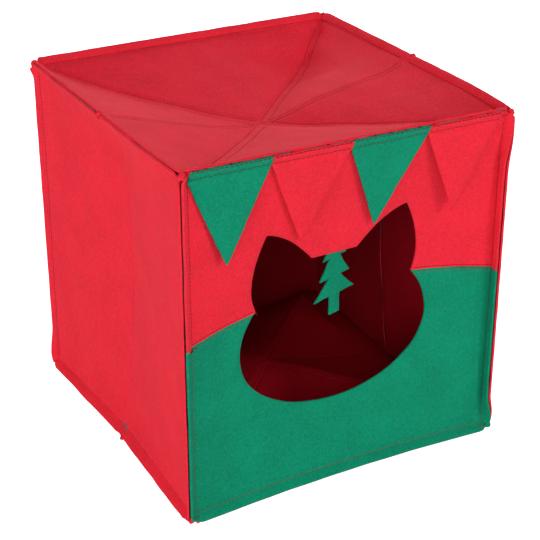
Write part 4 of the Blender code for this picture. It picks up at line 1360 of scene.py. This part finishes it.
class BED_OT_wires(bpy.types.Operator):
    """Bend the U-shaped wires of the half walls and coat all wires"""

    bl_idname = "cat_bed.wires"
    bl_label = "Wires"

    def execute(self, context):
        for body in ("front_frame", "rear_frame"):
            self.frame_wire(body)
        for side, end, stem in quarters():
            self.half_wire(side, end, stem)
            self.channel(side, end, stem)
        return {"FINISHED"}

    def frame_wire(self, body):
        """A frame's closed wire, cut fine enough to follow the settled edges."""
        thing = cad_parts[body + "_wire"]
        shape = bmesh.new()
        shape.from_mesh(thing.data)
        shape.transform(thing.matrix_world)
        for way in ((1, 0, 0), (0, 0, 1)):
            for cut in np.arange(-0.186, 0.386, 0.008):
                everything = shape.verts[:] + shape.edges[:] + shape.faces[:]
                bmesh.ops.bisect_plane(shape, geom=everything, plane_co=Vector(way) * cut, plane_no=way)
        shape.verts.index_update()
        points = np.array([tuple(spot.co) for spot in shape.verts])
        faces = [tuple(spot.index for spot in face.verts) for face in shape.faces]
        shape.free()
        piece = mesh_piece(body + "_wire_coat", points, faces, angle=60)
        finish_piece(piece, body, "coated_wire", body + "_wire")

    def half_wire(self, side, end, stem):
        """A wire along the top seam, down inside the midline's channel and along the floor seam."""
        middle = sizes().felt / 2
        reach = WIRE_FROM_ROOT * math.sin(WIRE_LEAN)
        path = []
        for up, z in LEVELS:
            run = [(side * (HALF + reach), end * y, z + up * reach)
                   for y in np.linspace(HALF - 0.014, 0.012, 30)]
            run += [(side * (HALF + reach - 0.0006), end * 0.0075, z + up * (reach - 0.0010)),
                    (side * (HALF + reach - 0.0025), end * 0.0045, z + up * (reach - 0.0038)),
                    (side * (HALF + middle + 0.0012), end * 0.0034, z - up * 0.0005)]
            path += run if up > 0 else run[::-1]
            if up > 0:
                heights = np.linspace(TOP_Z - 0.008, FLOOR_Z + 0.008, 60)
                bows = wall_bow(np.full(60, 0.0033), heights)
                path += [(side * (HALF + middle - bow), end * 0.0033, height)
                         for bow, height in zip(bows, heights)]
        points, faces = tube(np.array(path), WIRE_RADIUS, 10)
        piece = mesh_piece(stem + "_wall_wire", points, faces, angle=60)
        finish_piece(piece, stem + "_wall_half", "coated_wire", stem + "_wire")
        fold_in(piece)

    def channel(self, side, end, stem):
        """The strip of felt that is sewn down over the wire at the midline."""
        base = wall_place(side)
        outer = sizes().felt

        def place(u, v):
            points = base(u, v)
            points[:, 0] += side * (outer - 0.00096)
            return points

        felt = Felt(place, (side, 0, 0), (end * 0.003, 0.2), thickness=0.0010)
        low, high = FLOOR_Z + 0.0004, TOP_Z - 0.0004
        outline = [(end * u, v) for u, v in ((0.0001, low), (0.0068, low), (0.0068, high), (0.0001, high))]
        piece = cut_felt(stem + "_midline_channel", felt, outline, pitch=0.004, edge_pitch=0.004,
                         rounding=0.0003)
        finish_piece(piece, stem + "_wall_half", "red_felt", stem + "_channel")
        fold_in(piece)


class BED_OT_tacks(bpy.types.Operator):
    """Close the seams, and sew the tacks and gathered felt at the corners and the midlines"""

    bl_idname = "cat_bed.tacks"
    bl_label = "Tacks and thread ends"

    def execute(self, context):
        self.seam_threads()
        for end, end_name in ENDS:
            sewing = Sewing(140 + end)
            for side, side_name in SIDES:
                for up, z in LEVELS:
                    self.corner(sewing, side, end, up, z, side_name + "_" + end_name)
            if end < 0:
                self.seam_end(sewing)
            sewing.finish(end_name + "_corner_tacks", end_name + "_frame")
        for side, side_name in SIDES:
            sewing = Sewing(150 + side)
            for up, z in LEVELS:
                self.midpoint(sewing, side, up, z, side_name)
            sewing.finish(side_name + "_midline_tacks", side_name + "_front_wall_half")
        return {"FINISHED"}

    def seam_threads(self):
        """The sewing along the bottom of every seam, which closes it to the light."""
        for end, end_name in ENDS:
            sewing = Sewing(160 + end)
            for side in (-1, 1):
                sewing.strand([(side * HALF, end * HALF, z) for z in np.linspace(FLOOR_Z, TOP_Z, 12)],
                              SEAM_THREAD, 6)
            for z in (FLOOR_Z, TOP_Z):
                sewing.strand([(x, end * HALF, z) for x in np.linspace(-HALF, HALF, 12)], SEAM_THREAD, 6)
            sewing.finish(end_name + "_seam_threads", end_name + "_frame")
        for side, end, stem in quarters():
            sewing = Sewing(165)
            for z in (FLOOR_Z, TOP_Z):
                sewing.strand([(side * HALF, end * y, z) for y in np.linspace(0.0003, HALF, 12)],
                              SEAM_THREAD, 6)
            sewing.finish(stem + "_seam_threads", stem + "_wall_half")

    def seam_end(self, sewing):
        """Back stitches over the left end of the arched seam, and loose ends at the entrance."""
        front = Felt(front_place, -Y, (0, 0.3))
        path = [(-HALF + x, SEAM_SIDE_HEIGHT + z) for x, z in SEAM_END]
        path = resample_line(np.array(path), 0.0008)
        sewing.strand(front.points(path, front.thickness + 0.0003), 0.00042)
        for side in (-1, 1):
            x = ENTRANCE_X + side * (notch_half_width() + 0.0006)
            spot = front.points(np.array([(x, seam_height(x) - 0.0004)]), front.thickness)[0]
            sewing.tuft(spot, -Y - X * side * 0.9, 5, 0.0030, 0.5)

    def nub(self, name, body, centre, axis, length, radius, seed):
        """A gathered, puckered bit of felt at a corner."""
        draw = np.random.RandomState(seed)
        axis, side, other = axes_round(axis)
        folds, phase = draw.randint(4, 7), draw.uniform(0, 6.28)
        rings, sides = 14, 22
        points = []
        for ring in range(rings):
            share = ring / (rings - 1)
            size = radius * math.sin(math.pi * (0.10 + 0.82 * share)) ** 0.6
            size *= 1 - 0.34 * math.exp(-((share - 0.36) / 0.10) ** 2)
            for step in range(sides):
                turn = 2 * math.pi * step / sides
                pleat = 1 + (0.10 + 0.16 * share) * math.cos(folds * turn + phase + 1.2 * share)
                pleat += 0.07 * math.sin(2 * turn + 5 * share + phase)
                spot = centre + axis * length * (share - 0.25 + 0.05 * math.sin(3 * turn + phase))
                points.append(spot + size * pleat * (math.cos(turn) * side + math.sin(turn) * other))
        faces = [tuple(range(sides)), tuple(range((rings - 1) * sides, rings * sides))]
        points = np.array(points)
        points[:, 2] = np.maximum(points[:, 2], LEAST_HEIGHT)
        piece = mesh_piece(name, points, faces + ring_faces(rings, sides), angle=70)
        finish_piece(piece, body, "green_felt" if name.startswith("right_front_low") else "red_felt")

    def wrap(self, sewing, centre, axis, radius):
        """Turns of thread round a gathered corner."""
        axis, side, other = axes_round(axis)
        turns = 3
        path = []
        for step in range(turns * 14):
            turn = 2 * math.pi * step / 14
            path.append(np.array(centre) + axis * 0.0007 * (turn / 6.28 - turns / 2)
                        + radius * (math.cos(turn) * side + math.sin(turn) * other))
        sewing.strand(path, 0.0004)

    def corner(self, sewing, side, end, up, z, stem):
        """The pinched felt and thread where three seams meet."""
        corner = np.array((side * HALF, end * HALF, z))
        out = unit((side, end, up if up > 0 else up * 0.4))
        body = "front_frame" if end < 0 else "rear_frame"
        stem += "_top" if up > 0 else "_low"
        seed = 300 + side * 4 + end * 2 + up
        size = 0.0036 if up > 0 else 0.0028
        self.nub(stem + "_nub", body, corner + out * 0.0050, out, 0.0080, size * 1.08, seed)
        lean = unit(out + 0.6 * Z * up - 0.5 * X * side)
        self.nub(stem + "_fold", body, corner + lean * 0.0044 - X * side * 0.0036, lean, 0.0072,
                 size * 0.78, seed + 40)
        self.wrap(sewing, corner + out * 0.0068, out, size * 0.80)
        for along in (X * side, Y * end, Z * up):
            centre = corner + out * 0.0070 - along * 0.0075
            sewing.tack(centre, along, out, 0.0040, 0.0040, 5)
        sewing.tuft(corner + out * 0.0080, out, 5, 0.0022)

    def midpoint(self, sewing, side, up, z, side_name):
        """The tack that pinches a wall's seam at its midline."""
        centre = np.array((side * (HALF + 0.0070), -0.0040, z + up * 0.0066))
        out = unit((side, 0, up))
        sewing.tack(centre, Y, out, 0.0060, 0.0066, 8)
        sewing.tuft(centre + out * 0.001, out, 4, 0.0026)
        name = side_name + ("_top" if up > 0 else "_low") + "_midline_nub"
        self.nub(name, side_name + "_front_wall_half", centre - out * 0.0008, out, 0.0062, 0.0026,
                 350 + side + up)


class BED_OT_bunting(bpy.types.Operator):
    """Cut the four pennants and sew them along the front's top edge"""

    bl_idname = "cat_bed.bunting"
    bl_label = "Bunting"

    def execute(self, context):
        sewing = Sewing(170)
        for number in range(PENNANT_COUNT):
            name = "pennant_" + str(number + 1)
            slot = "red_felt" if number % 2 else "green_felt"
            centre = (number - (PENNANT_COUNT - 1) / 2) * PENNANT_PITCH + BUNTING_SHIFT
            self.hem(number, name, slot, centre, sewing)
            self.pennant(number, name, slot, centre)
        sewing.finish("bunting_stitches", "front_frame",
                      thread_material("bunting_thread", tuple(colours().dark_thread)))
        return {"FINISHED"}

    def hem(self, number, name, slot, centre, sewing):
        """The edge of a pennant that is sewn up the front's top edge."""
        felt_depth = sizes().felt
        half = PENNANT_PITCH / 2 - PENNANT_GAP
        edge = Felt(front_place, -Y, (0, 0.3))

        def place(u, v):
            return edge.points(np.stack([u + centre, v + TOP_Z], axis=1), felt_depth + 0.0003)

        hem = Felt(place, -Y, (0, 0.005), PENNANT_FELT, (Ripple(180 + number), 0.00008, 0.03))
        high = sizes().lip + 0.0006
        first_cut, last_cut = 0.0045 * (number == 0), 0.0030 * (number == PENNANT_COUNT - 1)
        outline = [(-half, 0.0005), (half, 0.0005), (half, high - last_cut), (half - last_cut, high),
                   (first_cut - half, high), (-half, high - first_cut)]
        rows = [[(-half + 0.0008, height), (half - 0.0008, height)] for height in (0.0086, 0.0038)]
        for path in rows:
            hem.groove(path, 0.00045, 0.0008)
        piece = cut_felt(name + "_hem_felt", hem, outline, pitch=0.004, edge_pitch=0.0025,
                         rounding=0.0004, wave=(Ripple(190 + number), 0.0002, 0.02))
        finish_piece(piece, "front_frame", slot, name + "_hem")
        sewing.rows(hem, rows, length=0.0034, gap=0.0016, radius=0.00052)

    def pennant(self, number, name, slot, centre):
        """The hanging triangle of a pennant."""
        half = PENNANT_PITCH / 2 - PENNANT_GAP
        tilt = OUTER_PENNANT_TILT if number in (0, PENNANT_COUNT - 1) else INNER_PENNANT_TILT
        felt_depth = sizes().felt
        root = np.array((centre, -HALF - felt_depth, TOP_Z - felt_depth * math.tan(TOP_FRONT_TURN / 2)))
        base = root - Y * 0.0006
        down = np.array((0, math.sin(tilt), -math.cos(tilt)))
        out = np.array((0, -math.cos(tilt), -math.sin(tilt)))

        def place(u, v):
            share = np.clip(v / PENNANT_DROP, 0, 1)
            curl = 0.0012 * share ** 2 * math.cos(number * 2.1) + 0.0008 * share
            return (base + u[:, None] * X + v[:, None] * down + curl[:, None] * out
                    + (0.0006 * np.sin(u * 60 + number) * share)[:, None] * out)

        felt = Felt(place, -Y, (0, 0.04), PENNANT_FELT, (Ripple(200 + number), 0.00015, 0.04))
        tip = PENNANT_TIP_SHIFTS[number] - BUNTING_SHIFT
        outline = [(-half, 0.0), (half, 0.0), (tip + 0.0009, PENNANT_DROP - 0.0014),
                   (tip, PENNANT_DROP - 0.0007), (tip - 0.0009, PENNANT_DROP - 0.0014)]
        piece = cut_felt(name + "_felt", felt, outline, pitch=0.004, edge_pitch=0.002,
                         rounding=0.0004, wave=(Ripple(210 + number), 0.00022, 0.018))
        finish_piece(piece, name, slot, name)


class BED_OT_toy(bpy.types.Operator):
    """Cut the fir tree and hang it on its thread behind the lintel"""

    bl_idname = "cat_bed.toy"
    bl_label = "Toy"

    def execute(self, context):
        self.tree()
        self.tab()
        self.thread()
        return {"FINISHED"}

    def tree(self):
        """The felt fir tree, turned a little on its thread."""
        half = [(0.0016, TREE_TOP)]
        for reach, height, waist in TREE_TIERS:
            start = half[-1]
            pull = (start[0] + 0.46 * (reach - start[0]), height + 0.44 * (start[1] - height))
            half += bezier(start, pull, (reach, height), 7)
            half += bezier((reach, height), ((reach + waist) / 2, height + 0.0004),
                           (waist, height + 0.0002), 5)
        half.append((0.0074, TRUNK_BOTTOM))
        outline = half + [(-across, height) for across, height in reversed(half)]
        across = np.array((math.cos(TOY_YAW), math.sin(TOY_YAW), 0))
        through = np.array((-math.sin(TOY_YAW), math.cos(TOY_YAW), 0))
        depth = sizes().felt
        base = np.array((TOY_X, TOY_PLANE_Y, 0)) + through * (depth / 2)

        def place(u, v):
            low = np.clip((TREE_TOP - v) / 0.09, 0, 1)
            twist = 0.0010 * np.sin(u * 45) * low
            return base + u[:, None] * across + v[:, None] * Z - twist[:, None] * through

        felt = Felt(place, -through, (0, 0.22), depth, (Ripple(231), 0.00012, 0.03))
        piece = cut_felt("fir_tree_felt", felt, outline, pitch=0.0035, edge_pitch=0.0015,
                         rounding=0.0005, wave=(Ripple(232), 0.00018, 0.012))
        finish_piece(piece, "tree", "green_felt", "toy_tree")

    def tab(self):
        """The small bent tab that the thread runs through."""
        run = LOOP_TOP + 0.0016 + 0.0022
        stand_off = 0.0015
        heights = np.array([run + 0.006, run])
        top, low = front_dip(np.full(2, TOY_X), heights) - HALF + stand_off
        spine = np.array([(top, run + 0.0060), (low, run), (TOY_PLANE_Y, run),
                          (TOY_PLANE_Y, LOOP_TOP - 0.0028)])
        line = resample_line(spine, 0.0006)
        for _ in range(3):
            line[1:-1] = (line[:-2] + 2 * line[1:-1] + line[2:]) / 4
        length = np.concatenate([[0], np.cumsum(np.linalg.norm(np.diff(line, axis=0), axis=1))])

        def place(u, v):
            y = np.interp(v, length, line[:, 0])
            z = np.interp(v, length, line[:, 1])
            return np.stack([TOY_X + u, y, z], axis=1)

        felt = Felt(place, (0, -1, 0), (0, 0.002), TAB_FELT)
        half_depth = TAB_FELT / 2
        shifted = Felt(lambda u, v: place(u, v) - felt.normals(np.stack([u, v], axis=1)) * half_depth,
                       (0, -1, 0), (0, 0.002), TAB_FELT)
        end = length[-1] - 0.0006
        outline = [(-0.005, 0.0006), (0.005, 0.0006), (0.005, end - 0.002), (0.0035, end),
                   (-0.0035, end), (-0.005, end - 0.002)]
        piece = cut_felt("toy_tab_felt", shifted, outline, pitch=0.0016, edge_pitch=0.001,
                         rounding=0.0003)
        finish_piece(piece, "front_frame", "red_felt", "toy_tab")
        sewing = Sewing(240)
        rows = [[(-0.004, v), (0.004, v)] for v in (0.0020, 0.0045)]
        sewing.rows(felt, rows, depth=-half_depth, length=0.0022, gap=0.0009)
        sewing.finish("toy_tab_stitches", "front_frame")

    def thread(self):
        """The loop of thread and the knot that closes it."""
        turns = np.linspace(0, 2 * math.pi, 48, endpoint=False)
        loop = np.stack([TOY_X + 0.0003 * np.sin(5 * turns), TOY_PLANE_Y + LOOP_RADIUS * np.cos(turns),
                         LOOP_TOP - LOOP_RADIUS + LOOP_RADIUS * np.sin(turns)], axis=1)
        turns = np.linspace(0, 2 * math.pi, 72, endpoint=False)
        swell = 1 + 0.45 * np.cos(3 * turns)
        knot = np.stack([0.00095 * swell * np.cos(2 * turns), 0.00095 * swell * np.sin(2 * turns),
                         0.0009 * np.sin(3 * turns)], axis=1) + (TOY_X, TOY_PLANE_Y, KNOT_HEIGHT)
        for name, path, radius, body, node in (
                ("toy_thread", loop, 0.0006, "thread_loop", "toy_thread_loop"),
                ("toy_knot_thread", knot, 0.00055, "knot", "toy_knot")):
            points, faces = tube(path, radius, 8, True)
            finish_piece(mesh_piece(name, points, faces, angle=80), body, "thread", node)


class BED_OT_studio(bpy.types.Operator):
    """Set up the pale floor, the soft lamps, the world and the camera"""

    bl_idname = "cat_bed.studio"
    bl_label = "Studio"

    def execute(self, context):
        self.floor()
        for name, spot, size, power in LAMPS:
            self.lamp(name, spot, size, power)
        self.world(context)
        self.camera(context)
        context.scene.view_settings.view_transform = "Standard"
        return {"FINISHED"}

    def floor(self):
        """A wide pale floor that shows white and keeps the bed's shadow."""
        half = 6.0
        mesh = bpy.data.meshes.new("studio_floor")
        mesh.from_pydata([(-half, -half, 0), (half, -half, 0), (half, half, 0), (-half, half, 0)],
                         [], [(0, 1, 2, 3)])
        floor = bpy.data.objects.new("studio_floor", mesh)
        bpy.context.scene.collection.objects.link(floor)
        material = bpy.data.materials.new("studio_paper")
        material.use_nodes = True
        tree = material.node_tree
        tree.nodes.clear()
        diffuse = shader_node(tree, "ShaderNodeBsdfDiffuse", {"Color": colours().paper})
        glow = shader_node(tree, "ShaderNodeEmission", {"Strength": FLOOR_GLOW})
        both = shader_node(tree, "ShaderNodeAddShader", {0: diffuse, 1: glow})
        mix = shader_node(tree, "ShaderNodeMixShader", {0: self.seen_rays(tree), 1: diffuse, 2: both})
        out = tree.nodes.new("ShaderNodeOutputMaterial")
        tree.links.new(mix, out.inputs["Surface"])
        mesh.materials.append(material)

    def seen_rays(self, tree):
        """One for rays from the camera, from gloss and through glass."""
        path = tree.nodes.new("ShaderNodeLightPath")
        seen = math_node(tree, "MAXIMUM", path.outputs["Is Camera Ray"], path.outputs["Is Glossy Ray"])
        return math_node(tree, "MAXIMUM", seen, path.outputs["Is Transmission Ray"])

    def lamp(self, name, spot, size, power):
        """A soft square lamp aimed at the bed."""
        data = bpy.data.lights.new(name, "AREA")
        data.energy = power
        data.size = size
        lamp = bpy.data.objects.new(name, data)
        bpy.context.scene.collection.objects.link(lamp)
        lamp.location = spot
        aim = Vector(LAMP_AIM) - Vector(spot)
        lamp.rotation_euler = aim.to_track_quat("-Z", "Y").to_euler()

    def world(self, context):
        """Even light from all round, white where it is seen."""
        world = bpy.data.worlds.new("studio_world")
        context.scene.world = world
        world.use_nodes = True
        tree = world.node_tree
        tree.nodes.clear()
        more = math_node(tree, "MULTIPLY", self.seen_rays(tree), 1 - WORLD_LIGHT)
        strength = math_node(tree, "ADD", WORLD_LIGHT, more)
        back = shader_node(tree, "ShaderNodeBackground", {"Color": (1, 1, 1, 1), "Strength": strength})
        out = tree.nodes.new("ShaderNodeOutputWorld")
        tree.links.new(back, out.inputs["Surface"])

    def camera(self, context):
        """The photograph's viewpoint, fitted to the corners of the bed."""
        data = bpy.data.cameras.new("studio_camera")
        data.lens = CAMERA_LENS
        data.sensor_width = 36
        camera = bpy.data.objects.new("studio_camera", data)
        context.scene.collection.objects.link(camera)
        turn, dip, roll = (math.radians(angle) for angle in CAMERA_ANGLES)
        ahead = Vector((math.sin(turn) * math.cos(dip), math.cos(turn) * math.cos(dip), math.sin(dip)))
        right = ahead.cross(Vector((0, 0, 1))).normalized()
        up = right.cross(ahead)
        rolled = right * math.cos(roll) + up * math.sin(roll)
        up = rolled.cross(ahead)
        matrix = Matrix((rolled, up, -ahead)).transposed().to_4x4()
        matrix.translation = CAMERA_SPOT
        camera.matrix_world = matrix
        context.scene.camera = camera


class BED_PT_panel(bpy.types.Panel):
    """Sizes, colours and the steps that dress the bed."""

    bl_label = "Cat bed"
    bl_idname = "BED_PT_panel"
    bl_space_type = "VIEW_3D"
    bl_region_type = "UI"
    bl_category = "Cat bed"

    def draw(self, context):
        """List every size, colour and step."""
        layout = self.layout
        for group in (context.scene.bed_sizes, context.scene.bed_colours):
            for name in group.bl_rna.properties.keys():
                if name not in ("rna_type", "name"):
                    layout.prop(group, name)
        for step in STEPS:
            layout.operator(step.bl_idname)


STEPS = (BED_OT_front, BED_OT_rear, BED_OT_walls, BED_OT_top_and_floor, BED_OT_wires, BED_OT_tacks,
         BED_OT_bunting, BED_OT_toy, BED_OT_studio)
CLASSES = (BedSizes, BedColours) + STEPS + (BED_PT_panel,)


def register():
    """Make the settings, the steps and the panel known."""
    for thing in CLASSES:
        bpy.utils.register_class(thing)
    bpy.types.Scene.bed_sizes = bpy.props.PointerProperty(type=BedSizes)
    bpy.types.Scene.bed_colours = bpy.props.PointerProperty(type=BedColours)


def unregister():
    """Take them away again."""
    del bpy.types.Scene.bed_colours
    del bpy.types.Scene.bed_sizes
    for thing in reversed(CLASSES):
        bpy.utils.unregister_class(thing)


def main():
    """Dress the bed, one step after the other."""
    register()
    bpy.ops.cat_bed.front()
    bpy.ops.cat_bed.rear()
    bpy.ops.cat_bed.walls()
    bpy.ops.cat_bed.top_and_floor()
    bpy.ops.cat_bed.wires()
    bpy.ops.cat_bed.tacks()
    bpy.ops.cat_bed.bunting()
    bpy.ops.cat_bed.toy()
    bpy.ops.cat_bed.studio()


if __name__ == "__main__":
    main()
